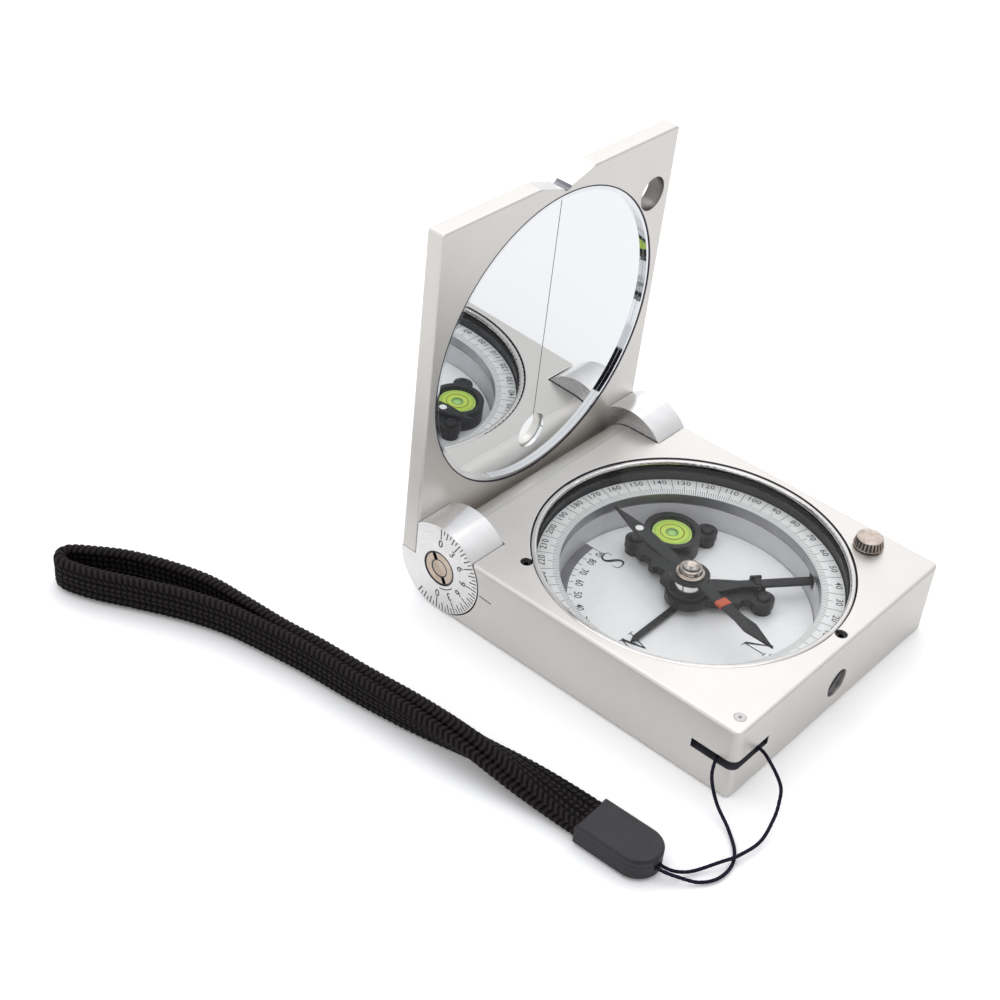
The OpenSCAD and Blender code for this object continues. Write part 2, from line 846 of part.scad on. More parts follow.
module dial_screw() {
  back = front_y + recess_deep - part_gap;
  color([0.6, 0.6, 0.62])
    difference() {
      union() {
        drive_cylinder(screw_head_r, front_y + 0.7, back);
        drive_cylinder(shaft_r, back - 0.1, centre_y - face_in);
      }
      translate([0, front_y, drive_z])
        rotate([0, -37, 0])
          translate([-5, -1, -0.4])
            cube([10, 2.4, 0.8]);
    }
}

module lock_knob() {
  color([0.8, 0.76, 0.68])
    on_lever(head_z)
      translate([knob_reach, 0, 0])
        difference() {
          rotate_extrude($fn = 96)
            polygon([[1.2 + touch, 0], [knob_r - 0.15, 0], [knob_r, 0.15], [knob_r, 0.4],
              [knob_top_r, head_h - 0.1], [knob_top_r - 0.1, head_h], [0, head_h], [0, 1.6],
              [1.2 + touch, 1.6]]);
          for (i = [0 : knob_flutes - 1])
            rotate([0, 0, i * 360 / knob_flutes])
              translate([knob_r + 0.04, 0, 0.3])
                rotate([0, -10, 0])
                  cylinder(r = 0.3, h = 1.7, $fn = 16);
        }
}

module knob_stem() {
  color([0.8, 0.76, 0.68])
    on_lever()
      translate([knob_reach, 0, 0])
        difference() {
          union() {
            translate([0, 0, ledge_z + 0.6])
              cylinder(r = stem_r, h = head_z - ledge_z - 0.6);
            translate([0, 0, flange_top - 0.8])
              cylinder(r = knob_bore - 0.3, h = 0.8);
            translate([0, 0, ledge_z - 3])
              cylinder(r = stem_tip_r, h = 4);
            translate([0, 0, head_z - 1])
              cylinder(r = 1.2, h = 2.5);
          }
          translate([0, 0, cam_z])
            rotate([0, cam_slope, 0])
              translate([-10, -10, -20])
                cube([20, 20, 20]);
        }
}

module lift_lever() {
  tip = knob_reach - cam_at + 0.4;
  color([0.14, 0.14, 0.15])
    on_lever()
      difference() {
        union() {
          translate([0, 0, lever_z])
            cylinder(r = 4.2, h = lever_t);
          translate([0, 0, lever_z])
            linear_extrude(height = lever_t)
              polygon([[2, -2.2], [7, -2], [12, -lever_half], [tip - 3, -lever_half], [tip - 2, -0.8],
                [tip, -0.8], [tip, 0.8], [tip - 2, 0.8], [tip - 3, lever_half], [12, lever_half],
                [7, 2], [2, 2.2]]);
          translate([pivot_reach, -lever_half, pin_z])
            rotate([-90, 0, 0])
              cylinder(r = boss_r, h = 2 * lever_half, $fn = 32);
        }
        translate([0, 0, lever_z - 1])
          cylinder(r = post_r + 0.4, h = 5);
        translate([pivot_reach, -5, pin_z])
          rotate([-90, 0, 0])
            cylinder(r = lever_pin_r + run_gap, h = 10, $fn = 24);
      }
}

module needle_lifter() {
  color([0.86, 0.87, 0.88])
    at_centre()
      rotate_extrude()
        polygon([[post_r + run_gap, lifter_z], [3.1, lifter_z], [3.1, lifter_top - 0.2],
          [2.9, lifter_top], [post_r + run_gap, lifter_top]]);
}

module needle_bar() {
  color([0.13, 0.13, 0.14])
    at_centre(needle_z)
      rotate([0, 0, needle_deg])
        difference() {
          union() {
            cylinder(r = needle_hub_r, h = needle_t);
            linear_extrude(height = needle_t)
              polygon([[2, -1.3], [16.5, -1.3], [20, -1.75], [needle_half, 0], [20, 1.75], [16.5, 1.3],
                [2, 1.3], [-18.2, 1.7], [-needle_half, 0], [-18.2, -1.7]]);
          }
          translate([0, 0, -1])
            cylinder(r = 1.1, h = 3, $fn = 32);
        }
}

module needle_cap() {
  z0 = needle_z + needle_t + touch;
  color([0.82, 0.79, 0.76])
    at_centre()
      rotate_extrude()
        polygon([[1.1, z0], [3.5, z0], [3.6, z0 + 0.15], [3.6, z0 + 0.5], [3.4, z0 + 0.65], [2.9, z0 + 0.75],
          [2.85, cap_top - 0.9], [2.6, cap_top - 0.55], [2.1, cap_top - 0.5], [2.1, cap_top - 0.9],
          [0, cap_top - 0.9], [0, cap_top - 1.1], [1.1, z0 + 0.9]]);
}

module needle_jewel() {
  color([0.95, 0.95, 0.95, 0.5])
    at_centre()
      rotate_extrude()
        polygon([[0, cap_top - 0.88], [2.05, cap_top - 0.88], [2.05, cap_top - 0.5], [1.9, cap_top - 0.32],
          [1.4, cap_top - 0.12], [0.75, cap_top - 0.02], [0, cap_top]]);
}

module counterweight() {
  color([0.85, 0.27, 0.1])
    at_centre(needle_z)
      rotate([0, 0, needle_deg])
        translate([10.9, 0, 0])
          difference() {
            translate([-1.5, -1.65, -0.22])
              cube([3, 3.3, needle_t + 0.5]);
            translate([-3, -1.3 - touch, -touch])
              cube([6, 2.6 + 2 * touch, needle_t + 2 * touch]);
          }
}

module clinometer_pointer() {
  color([0.14, 0.14, 0.15])
    at_centre(plate_z + 0.6)
      difference() {
        union() {
          cylinder(r = 3.4, h = 0.6);
          linear_extrude(height = 0.6)
            polygon([[-2.4, -0.8], [-pointer_reach + 1.6, -0.65], [-pointer_reach, 0],
              [-pointer_reach + 1.6, 0.65], [-2.4, 0.8]]);
        }
        translate([0, 0, -1])
          cylinder(r = post_r + run_gap, h = 4);
      }
}

// smooth curve through the route points; u counts from 0 to the last index
function curve(a, b, c, d, t) =
  0.5 * (2 * b + (c - a) * t + (2 * a - 5 * b + 4 * c - d) * t * t + (3 * b - a - 3 * c + d) * t * t * t);

function along(P, u) =
  let (last = len(P) - 1, i = min(last - 1, max(0, floor(u))), t = u - i)
  curve(P[max(0, i - 1)], P[i], P[i + 1], P[min(last, i + 2)], t);

function unit(v) = v / norm(v);

function heading(P, u) =
  let (last = len(P) - 1)
  unit(along(P, min(last, u + 0.05)) - along(P, max(0, u - 0.05)));

// closed skin over a list of rings with the same number of points; past the ring turn the
// diagonals slant the other way, so that a strap laid back along itself has matching faces
module skin(rings, turn) {
  m = len(rings[0]);
  n = len(rings);
  polyhedron(
    points = [for (r = rings) each r],
    faces = concat(
      [[for (j = [m - 1 : -1 : 0]) j]],
      [for (i = [0 : n - 2]) for (j = [0 : m - 1])
        let (a = i * m + j, b = i * m + (j + 1) % m, c = b + m, d = a + m)
        each (i < turn ? [[a, b, d], [b, c, d]] : [[a, b, c], [a, c, d]])],
      [[for (j = [0 : m - 1]) (n - 1) * m + j]]));
}

function string_ring(P, u, r, sides) =
  let (p = along(P, u), t = heading(P, u), a = unit(cross(t, [0, 0, 1])), b = cross(t, a))
  [for (j = [0 : sides - 1]) p + r * (cos(j * 360 / sides) * a + sin(j * 360 / sides) * b)];

module string_tube(P) {
  rings = 21;
  last = len(P) - 1;
  skin([for (i = [0 : rings - 1]) string_ring(P, last * i / (rings - 1), string_d / 2, 8)], rings);
}

module string_left() {
  color([0.1, 0.1, 0.12])
    string_tube(string_left_route);
}

module string_right() {
  color([0.1, 0.1, 0.12])
    string_tube(string_right_route);
}

// strap route with the direction of its width at each point
function strap_side(s) =
  [for (q = strap_route)
    [q[0] + s * q[4] / 2 * cos(q[3]), q[1], q[2] + s * q[4] / 2 * sin(q[3]), -sin(q[3]), 0, cos(q[3])]];

function reverse(L) = [for (i = [len(L) - 1 : -1 : 0]) L[i]];

strap_path = concat(strap_side(-1), [for (q = strap_turn) [q[0], q[1], q[2], 0, 0, 1]],
  reverse(strap_side(1)));

function strap_ring(u) =
  let (
    q = along(strap_path, u),
    q1 = along(strap_path, min(len(strap_path) - 1, u + 0.05)),
    q0 = along(strap_path, max(0, u - 0.05)),
    t = unit([q1[0] - q0[0], q1[1] - q0[1], q1[2] - q0[2]]),
    side = unit(cross(t, [q[3], q[4], q[5]])),
    wide = cross(side, t),
    w = strap_w / 2,
    h = strap_t / 2,
    c = 0.5)
  [for (k = [[w, -h + c], [w, h - c], [w - c, h], [c - w, h], [-w, h - c], [-w, c - h], [c - w, -h], [w - c, -h]])
    [q[0], q[1], q[2]] + k[0] * wide + k[1] * side];

module wrist_strap() {
  rings = 44;
  last = len(strap_path) - 1;
  color([0.07, 0.07, 0.07])
    skin([for (i = [0 : rings - 1]) strap_ring(last * i / (rings - 1))], rings / 2 - 1);
}

module clasp_outline(inset) {
  translate([inset, -clasp_w / 2 + inset])
    square([clasp_l - clasp_w / 2 - inset, clasp_w - 2 * inset]);
  translate([clasp_l - clasp_w / 2, 0])
    circle(r = clasp_w / 2 - inset, $fn = 48);
}

// half of the clasp between two heights; the outer face is the one with bevelled edges
module clasp_half(z0, z1, outer_z) {
  mid = clasp_low + clasp_h / 2;
  translate([clasp_at[0], clasp_at[1], 0])
    rotate([0, 0, clasp_deg])
      difference() {
        hull() {
          translate([0, 0, outer_z > z0 ? z0 : z0 + 0.5])
            linear_extrude(height = z1 - z0 - 0.5)
              clasp_outline(0);
          translate([0, 0, outer_z > z0 ? z1 - 0.1 : z0])
            linear_extrude(height = 0.1)
              clasp_outline(0.5);
        }
        translate([-1, -strap_w / 2 - 0.2, mid - strap_t - 0.25])
          cube([clasp_mouth + 1, strap_w + 0.4, 2 * strap_t + 0.5]);
        translate([15.6, -1.2, mid - 0.6])
          cube([3, 2.4, 1.2]);
      }
}

module clasp_base() {
  color([0.2, 0.2, 0.21])
    clasp_half(clasp_low, clasp_low + clasp_split - clasp_seam / 2, clasp_low);
}

module clasp_cover() {
  color([0.2, 0.2, 0.21])
    clasp_half(clasp_low + clasp_split + clasp_seam / 2, clasp_low + clasp_h, clasp_low + clasp_h);
}

case_block();
bezel_ring();
window_glass();
glass_gasket();
chamber_sleeve();
bezel_screws();
scale_plate();
centre_post();
pivot_point();
level_bracket();
lever_stand();
bracket_screws();
level_vial();
level_fluid();
lever_pin();
lanyard_pin();
hinge_pins();
hinge_nuts();
hinge_washers();
pinion_bush();
knob_bush();
lid_plate();
mirror_glass();
mirror_ring();
sight_window();
knuckle_left();
knuckle_right();
knuckle_screws();
dial_ring();
dial_pinion();
dial_screw();
lock_knob();
knob_stem();
lift_lever();
needle_lifter();
needle_bar();
needle_cap();
needle_jewel();
counterweight();
clinometer_pointer();
string_left();
string_right();
clasp_base();
clasp_cover();
wrist_strap();
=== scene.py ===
import math

import bpy
from mathutils import Matrix, Vector


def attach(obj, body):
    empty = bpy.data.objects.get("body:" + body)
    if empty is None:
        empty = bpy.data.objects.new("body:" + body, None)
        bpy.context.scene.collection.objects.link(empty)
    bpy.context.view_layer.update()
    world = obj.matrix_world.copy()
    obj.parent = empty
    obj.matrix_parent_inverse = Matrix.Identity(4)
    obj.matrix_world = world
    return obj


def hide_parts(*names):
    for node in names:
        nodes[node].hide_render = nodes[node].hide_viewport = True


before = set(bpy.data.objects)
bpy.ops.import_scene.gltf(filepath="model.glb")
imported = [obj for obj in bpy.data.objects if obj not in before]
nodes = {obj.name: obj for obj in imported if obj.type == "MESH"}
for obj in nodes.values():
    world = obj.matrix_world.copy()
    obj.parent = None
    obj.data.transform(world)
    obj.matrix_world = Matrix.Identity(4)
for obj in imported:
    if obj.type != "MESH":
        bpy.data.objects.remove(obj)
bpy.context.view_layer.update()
MM = 0.001

# places and sizes from the CAD source, in millimetres
CENTRE_Y = -5.75
FRONT_Y = -45.0
HALF_W = 37.5
HINGE_Y, HINGE_Z = 33.9, 11.1
LID_DEG = 88.5
LID_LOW = 18.1
DIAL_TOP = 12.1
DIAL_EDGE_R = 28.95
PLATE_TOP = 3.38
NEEDLE_Z = 11.8
NEEDLE_DEG = 256
VIAL = (13.4, 8.6)
KNOB_AT = (31.2, -30.5)
KNURL_STEP = 15
LANYARD_AT = (-33.4, -41.8)
# on the lid: x, and the distance from the hinge line
KNOB_HOLE, KNOB_HOLE_R = (31.2, 64.4), 4.05
MIRROR_S, MIRROR_SEAT_R = 39.9, 35.15
# how many degrees the dial's print is turned, as the photograph shows it
DIAL_TURN = -0.76

# the camera, solved from straight edges and circles: millimetres, degrees, and the lens on a 36 mm frame
CAMERA_AT = (-254.870, -152.955, 250.477)
CAMERA_AZ, CAMERA_EL, CAMERA_ROLL = -51.652, 37.434, 5.555
CAMERA_LENS = 62.26


def place_camera():
    data = bpy.data.cameras.new("camera")
    data.sensor_width = 36
    data.lens = CAMERA_LENS
    data.clip_start = 0.01
    data.clip_end = 20
    cam = bpy.data.objects.new("camera", data)
    bpy.context.scene.collection.objects.link(cam)
    az, el, roll = (math.radians(deg) for deg in (CAMERA_AZ, CAMERA_EL, CAMERA_ROLL))
    back = Vector((math.sin(az) * math.cos(el), -math.cos(az) * math.cos(el), math.sin(el)))
    right = (-back).cross(Vector((0, 0, 1))).normalized()
    up = right.cross(-back)
    across = right * math.cos(roll) + up * math.sin(roll)
    high = up * math.cos(roll) - right * math.sin(roll)
    place = Matrix((across, high, back)).transposed().to_4x4()
    place.translation = Vector(CAMERA_AT) * MM
    cam.matrix_world = place
    bpy.context.scene.camera = cam


place_camera()


def srgb(code):
    """(r, g, b, 1) in linear light from a hex colour"""
    out = []
    for k in (0, 2, 4):
        c = int(code[k:k + 2], 16) / 255
        out.append(c / 12.92 if c <= 0.04045 else ((c + 0.055) / 1.055) ** 2.4)
    return (*out, 1)


def add(tree, kind, links=None, values=None, **props):
    """adds a shader node; links and values name its inputs"""
    node = tree.nodes.new(kind)
    for key, value in props.items():
        setattr(node, key, value)
    for key, value in (values or {}).items():
        node.inputs[key].default_value = value
    for key, value in (links or {}).items():
        tree.links.new(value, node.inputs[key])
    return node


def new_mesh(name, verts, faces, body, material, smooth):
    """a piece with its points in metres, which rides on body"""
    mesh = bpy.data.meshes.new(name)
    mesh.from_pydata([tuple(v) for v in verts], [], faces)
    mesh.update()
    obj = bpy.data.objects.new(name, mesh)
    bpy.context.scene.collection.objects.link(obj)
    mesh.materials.append(material)
    if smooth:
        mesh.polygons.foreach_set("use_smooth", [True] * len(mesh.polygons))
    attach(obj, body)
    return obj


def empty_material(name):
    m = bpy.data.materials.new(name)
    m.use_nodes = True
    m.node_tree.nodes.clear()
    return m, m.node_tree


def surface(name):
    """an opaque material, its tree, its shader and the place on the piece in metres"""
    m, tree = empty_material(name)
    shader = add(tree, "ShaderNodeBsdfPrincipled")
    add(tree, "ShaderNodeOutputMaterial", {"Surface": shader.outputs[0]})
    return m, tree, shader, add(tree, "ShaderNodeTexCoord").outputs["Object"]


def mottle(tree, spot, size_mm, dark, light):
    """two close shades that drift over size_mm"""
    drift = add(tree, "ShaderNodeTexNoise", {"Vector": spot},
                {"Scale": 1 / (size_mm * MM), "Detail": 3, "Roughness": 0.55}).outputs[0]
    ramp = add(tree, "ShaderNodeValToRGB", {"Fac": drift})
    for stop, place, colour in zip(ramp.color_ramp.elements, (0.3, 0.7), (dark, light)):
        stop.position, stop.color = place, srgb(colour)
    return ramp.outputs[0]


def grain(tree, spot, size_mm, drawn=(1, 1, 1)):
    """grit or brush marks of size_mm, finer along an axis whose drawn is above 1"""
    along_marks = add(tree, "ShaderNodeVectorMath", {0: spot}, {1: drawn}, operation="MULTIPLY").outputs[0]
    return add(tree, "ShaderNodeTexNoise", {"Vector": along_marks},
               {"Scale": 1 / (size_mm * MM), "Detail": 3, "Roughness": 0.6}).outputs[0]


def from_axis(tree, spot, centre, keep):
    """distance in metres from an axis through centre; keep is 0 along the axis"""
    middle = [c * MM for c in centre]
    off = add(tree, "ShaderNodeVectorMath", {0: spot}, {1: middle}, operation="SUBTRACT").outputs[0]
    flat = add(tree, "ShaderNodeVectorMath", {0: off}, {1: keep}, operation="MULTIPLY").outputs[0]
    return add(tree, "ShaderNodeVectorMath", {0: flat}, operation="LENGTH").outputs["Value"]


def finish(tree, shader, colour, marks, rough, depth_mm, edge_mm, wear_and_highlight):
    """round edges made paler, partly as wear and partly as a painted highlight, roughness that follows the
    marks, and the marks standing depth_mm proud
    """
    round_edge = add(tree, "ShaderNodeBevel", values={"Radius": edge_mm * MM}, samples=6).outputs[0]
    true_face = add(tree, "ShaderNodeNewGeometry").outputs["Normal"]
    flatness = add(tree, "ShaderNodeVectorMath", {0: round_edge, 1: true_face},
                   operation="DOT_PRODUCT").outputs["Value"]
    # paler rounded edges: part wear, part painted highlight along the edge
    edge_wear_and_highlight = add(tree, "ShaderNodeMapRange", {"Value": flatness},
               {"From Min": 0.99, "From Max": 0.8, "To Min": 0, "To Max": 0.8}).outputs[0]
    base = add(tree, "ShaderNodeMix", {"Factor": edge_wear_and_highlight, "A": colour}, data_type="RGBA")
    base.inputs["B"].default_value = srgb(wear_and_highlight)
    base = next(o for o in base.outputs if o.enabled)
    tree.links.new(base, shader.inputs["Base Color"])
    gloss = add(tree, "ShaderNodeMapRange", {"Value": marks},
                {"From Min": 0.3, "From Max": 0.7, "To Min": rough - 0.05, "To Max": rough + 0.05}).outputs[0]
    tree.links.new(gloss, shader.inputs["Roughness"])
    bump = add(tree, "ShaderNodeBump", {"Height": marks, "Normal": round_edge},
               {"Distance": depth_mm * MM}).outputs[0]
    tree.links.new(bump, shader.inputs["Normal"])


def metal(name, dark, light, rough, grit_mm=0.12, depth_mm=0.004, edge_mm=0.2, drawn=(1, 1, 1),
          wear_and_highlight="F4F3F1"):
    """bare or plated metal with grit or brush marks"""
    m, tree, shader, spot = surface(name)
    shader.inputs["Metallic"].default_value = 1
    colour = mottle(tree, spot, 14, dark, light)
    finish(tree, shader, colour, grain(tree, spot, grit_mm, drawn), rough, depth_mm, edge_mm, wear_and_highlight)
    return m


def turned(name, dark, light, rough, centre, keep, pitch_mm, depth_mm=0.003, wear_and_highlight="F4F1EA"):
    """metal off the lathe, with concentric tool marks pitch_mm apart round an axis through centre"""
    m, tree, shader, spot = surface(name)
    shader.inputs["Metallic"].default_value = 1
    colour = mottle(tree, spot, 3, dark, light)
    marks = add(tree, "ShaderNodeTexNoise", {"W": from_axis(tree, spot, centre, keep)},
                {"Scale": 1 / (pitch_mm * MM), "Detail": 2}, noise_dimensions="1D").outputs[0]
    finish(tree, shader, colour, marks, rough, depth_mm, 0.15, wear_and_highlight)
    return m


def coat(name, dark, light, rough, grit_mm=0.25, depth_mm=0.008, edge_mm=0.15, shine=0.5, lacquer=0.0,
         wear_and_highlight=None):
    """paint, anodising, rubber or moulded plastic; shine is its specular level"""
    m, tree, shader, spot = surface(name)
    shader.inputs["Specular IOR Level"].default_value = shine
    shader.inputs["Coat Weight"].default_value = lacquer
    shader.inputs["Coat Roughness"].default_value = 0.12
    colour = mottle(tree, spot, 5, dark, light)
    finish(tree, shader, colour, grain(tree, spot, grit_mm), rough, depth_mm, edge_mm, wear_and_highlight or light)
    return m


def clear(name, colour, haze, rise, bend):
    """polished clear plate: the view bends by its IOR, light from the lamps passes straight, and it
    mirrors haze of the room head on and rise more at a glance"""
    m, tree = empty_material(name)
    seen = add(tree, "ShaderNodeBsdfRefraction", values={"Color": colour, "Roughness": 0.0, "IOR": bend})
    lit = add(tree, "ShaderNodeBsdfTransparent")
    ray = add(tree, "ShaderNodeLightPath")
    soft = add(tree, "ShaderNodeMath", {0: ray.outputs["Is Shadow Ray"], 1: ray.outputs["Is Diffuse Ray"]},
               operation="MAXIMUM").outputs[0]
    through = add(tree, "ShaderNodeMixShader", {0: soft, 1: seen.outputs[0], 2: lit.outputs[0]}).outputs[0]
    gloss = add(tree, "ShaderNodeBsdfGlossy", values={"Roughness": 0.01, "Color": (1, 1, 1, 1)}).outputs[0]
    glance = add(tree, "ShaderNodeLayerWeight", values={"Blend": 0.5}).outputs["Facing"]
    steep = add(tree, "ShaderNodeMath", {0: glance}, {1: 4.0}, operation="POWER").outputs[0]
    part = add(tree, "ShaderNodeMath", {0: steep}, {1: rise, 2: haze}, operation="MULTIPLY_ADD").outputs[0]
    mix = add(tree, "ShaderNodeMixShader", {0: part, 1: through, 2: gloss})
    add(tree, "ShaderNodeOutputMaterial", {"Surface": mix.outputs[0]})
    return m


# glass bead blasted, clear anodised aluminium: an even satin with no direction
ALUMINIUM = metal("bead_blasted_aluminium", "E0DDD9", "E4E1DD", 0.42, 0.09, 0.005, 0.3)
# the same aluminium turned and polished on the hinge discs: brighter, faint marks round the hinge
DISC_METAL = turned("turned_aluminium_disc", "F1F0F0", "F8F7F7", 0.27, (0, HINGE_Y, HINGE_Z), (0, 1, 1), 0.3,
                    0.002)
# cutter polished walls of the sighting notch: glints from the end mill
CUT_BRIGHT = metal("milled_bright_wall", "E9E8E6", "F7F6F4", 0.16, 0.4, 0.006, 0.1, (1, 1, 0.2))
# painted shade in the narrow slot of that notch: mid grey
CUT_DARK = metal("notch_slot_painted_shade", "77757A", "9C9AA0", 0.3, 0.3, 0.006, 0.1)
# reamed hole: rings from the reamer, and a dark colour that is painted shade, as the hole mirrors its own
# wall
BORE_METAL = metal("reamed_bore", "5E5A58", "9A9592", 0.28, 0.35, 0.008, 0.1, (0.2, 1, 0.2))
# chamber wall, blasted and anodised: soft light grey that stays pale in the shade
CHAMBER = coat("anodised_chamber_wall", "D6D6D9", "E0E0E2", 0.5, 0.2, 0.004, 0.1)
# painted shade on the walls of the lanyard slot and round the bezel's seat: dark grey
BORE_DARK = coat("shaded_bore", "45454B", "54545A", 0.5, 0.2, 0.004, 0.05, 0.2)
# painted shade on the bore round the dial and the lip of its liner: near black
BORE_BLACK = coat("seat_painted_shade", "040406", "08080A", 0.6, 0.2, 0.004, 0.05, 0.2)
# hard chrome, buffed: a mirror on the bezel, with dark lines where it sees the room behind the camera
CHROME = metal("buffed_chrome", "C9C6C4", "E0DDDB", 0.08, 1.5, 0.001, 0.1, wear_and_highlight="FFFFFF")
# the mirror's retaining ring, mirror polished so it melts into the glass
MIRROR_CHROME = metal("mirror_polished_chrome", "E9EBEE", "F4F5F7", 0.05, 1.5, 0.001, 0.08)
# black anodised aluminium of bracket, lever and needle: matt, with paler worn edges
BLACK_METAL = coat("black_anodised_metal", "100F12", "19181C", 0.4, 0.18, 0.004, 0.12, 0.35, wear_and_highlight="2C2B30")
# chemically blackened screws: glossy and nearly black
BLACK_SCREW = coat("blackened_screw", "08070C", "110F16", 0.2, 0.25, 0.004, 0.1, wear_and_highlight="2A2833")
# black moulded liner of the dial seat: satin, shows a grey glow at a glance
LINER = coat("black_moulded_liner", "1C1C20", "28282C", 0.4, 0.25, 0.006, 0.1)
# moulded synthetic rubber gasket: dull black
RUBBER = coat("black_rubber", "060606", "0C0C0C", 0.7, 0.2, 0.006, 0.1, 0.3)
# nickel plate on brass, warm where the plate thins
NICKEL = metal("nickel_plate", "A59A92", "C4B8AC", 0.2, 0.2, 0.003, 0.12)
# ground steel of pins, washers and screws: cool grey, drawn one way
STEEL = metal("ground_steel", "8F8E90", "A9A8AA", 0.33, 0.1, 0.004, 0.1, (1, 6, 1))
# steel of the dial's drive screw: dark as painted shade of its recess, with paler rubbed edges
DARK_STEEL = metal("screw_steel_painted_shade", "3E3D42", "5A595F", 0.3, 0.12, 0.004, 0.1, wear_and_highlight="9A989C")
# turned brass of bushes and pinion: warm yellow, brighter on its edges
BRASS = metal("turned_brass", "B69555", "CBAE70", 0.3, 0.15, 0.004, 0.1, wear_and_highlight="E6D09A")
# knob, cap, lifter and hinge nuts off the lathe: rings of tool marks, and painted shade in the knob's grooves
# and the nuts' slots, dark as they mirror themselves
KNOB = turned("turned_nickel_knob", "AD9F95", "D8CCC2", 0.2, (*KNOB_AT, 0), (1, 1, 0), 0.22, 0.008)
KNOB_GROOVE = metal("knurl_groove", "4E4845", "6E6661", 0.35, 0.12, 0.004, 0.05, wear_and_highlight="A79E97")
CAP = turned("turned_nickel_cap", "A6988E", "D2C5BA", 0.12, (0, CENTRE_Y, 0), (1, 1, 0), 0.14, 0.002)
LIFTER = turned("polished_lifter", "E9E9E9", "F6F6F6", 0.12, (0, CENTRE_Y, 0), (1, 1, 0), 0.2, 0.001)
NUT = turned("turned_nickel_nut", "BFAE9C", "DACBBB", 0.22, (0, HINGE_Y, HINGE_Z), (0, 1, 1), 0.16, 0.003)
NUT_SLOT = metal("nut_slot", "2A2330", "463C42", 0.4, 0.12, 0.004, 0.05, wear_and_highlight="6A5E60")
# stove enamel on the dial: hard white with a thin lacquer over the print
DIAL_WHITE = coat("dial_enamel", "F8F9F8", "FDFDFD", 0.34, 0.6, 0.002, 0.2, 0.5, 0.2, "FBFCFB")
# the dial's sanded inner edge: speckled silver grey
DIAL_EDGE = metal("sanded_dial_edge", "8E8E92", "B4B4B8", 0.42, 0.3, 0.03, 0.1, wear_and_highlight="D8D8DA")
# silk screened scale plate: very pale blue white satin
PLATE_WHITE = coat("plate_enamel", "FBFBFC", "FFFFFF", 0.3, 0.6, 0.002, 0.1, 0.5, 0.2)
# screen printing inks and the fill of the engraved hinge scale: matt, from black to mid grey
INK = coat("black_ink", "15141D", "1F1E29", 0.45, 0.2, 0.002, 0.02)
LETTER_INK = coat("blue_black_ink", "0E0E1A", "181828", 0.4, 0.2, 0.002, 0.02)
BAND_INK = coat("grey_ink", "86858D", "908F96", 0.45, 0.2, 0.002, 0.02)
BAND_LINE = coat("dark_grey_ink", "55555E", "64646D", 0.45, 0.2, 0.002, 0.02)
ENGRAVED = coat("engraved_fill", "4A4644", "5E5A57", 0.6, 0.1, 0.004, 0.02)
# printed circle of the level: red brown
RING_INK = coat("ring_ink", "7E4A1C", "8C5A26", 0.5, 0.2, 0.001, 0.02)
# painted reading mark of the liner: blacker than the liner
MARK_PAINT = coat("mark_paint", "020605", "060C0A", 0.3)
# ground end of the lanyard pin: a shade darker than the case round it
PIN_GREY = coat("ground_pin_end", "D2CFCC", "DAD7D4", 0.4, 0.2, 0.002, 0.02)
# shadow in the fine joints of the lid, and a dark blue line whose blue is painted reflection of the room in
# the gaps round the mirror and the nuts
JOINT_LINE = coat("joint_shadow", "7E7B7A", "8C8988", 0.7, 0.2, 0.002, 0.02)
NAVY_LINE = coat("gap_painted_reflection", "1E2033", "2A2C40", 0.35, 0.2, 0.002, 0.02)
# signal paint on the needle: orange on the clip, white on the south dot
ORANGE = coat("orange_lacquer", "BE4A28", "CB5934", 0.4, 0.2, 0.006, 0.12, wear_and_highlight="D9744F")
WHITE_DOT = coat("white_lacquer", "EEEFEF", "F8F8F8", 0.4, 0.2, 0.004, 0.05)
# spark eroded moulding texture of the clasp: even fine grit, edges rubbed paler
CLASP = coat("moulded_clasp_plastic", "1E1C20", "262428", 0.48, 0.14, 0.012, 0.35, 0.5, wear_and_highlight="3A383D")
# float glass of the window, thin acrylic of the sight and the needle's stone: clear, bright at a glance
WINDOW = clear("float_glass", (0.985, 0.991, 0.989, 1), 0.009, 0.34, 1.5)
SIGHT = clear("sight_glass", (0.985, 0.99, 0.99, 1), 0.02, 0.4, 1.02)
JEWEL = clear("clear_cap", (0.97, 0.96, 0.96, 1), 0.09, 0.8, 1.3)


def silvered_mirror():
    """back silvered glass: a clean mirror with the faintest ripple"""
    m, tree, shader, spot = surface("silvered_glass")
    shader.inputs["Metallic"].default_value = 1
    shader.inputs["Base Color"].default_value = srgb("F8FAFB")
    ripple = grain(tree, spot, 9)
    gloss = add(tree, "ShaderNodeMapRange", {"Value": ripple}, {"To Min": 0.004, "To Max": 0.02}).outputs[0]
    tree.links.new(gloss, shader.inputs["Roughness"])
    return m


def vial_acrylic():
    """turned clear acrylic of the level, faintly green at its rim"""
    m, tree, shader, spot = surface("vial_acrylic")
    shader.inputs["Base Color"].default_value = srgb("F6FBE4")
    shader.inputs["Transmission Weight"].default_value = 1
    shader.inputs["IOR"].default_value = 1.12
    gloss = add(tree, "ShaderNodeMapRange", {"Value": grain(tree, spot, 1.2)},
                {"To Min": 0.02, "To Max": 0.06}).outputs[0]
    tree.links.new(gloss, shader.inputs["Roughness"])
    return m


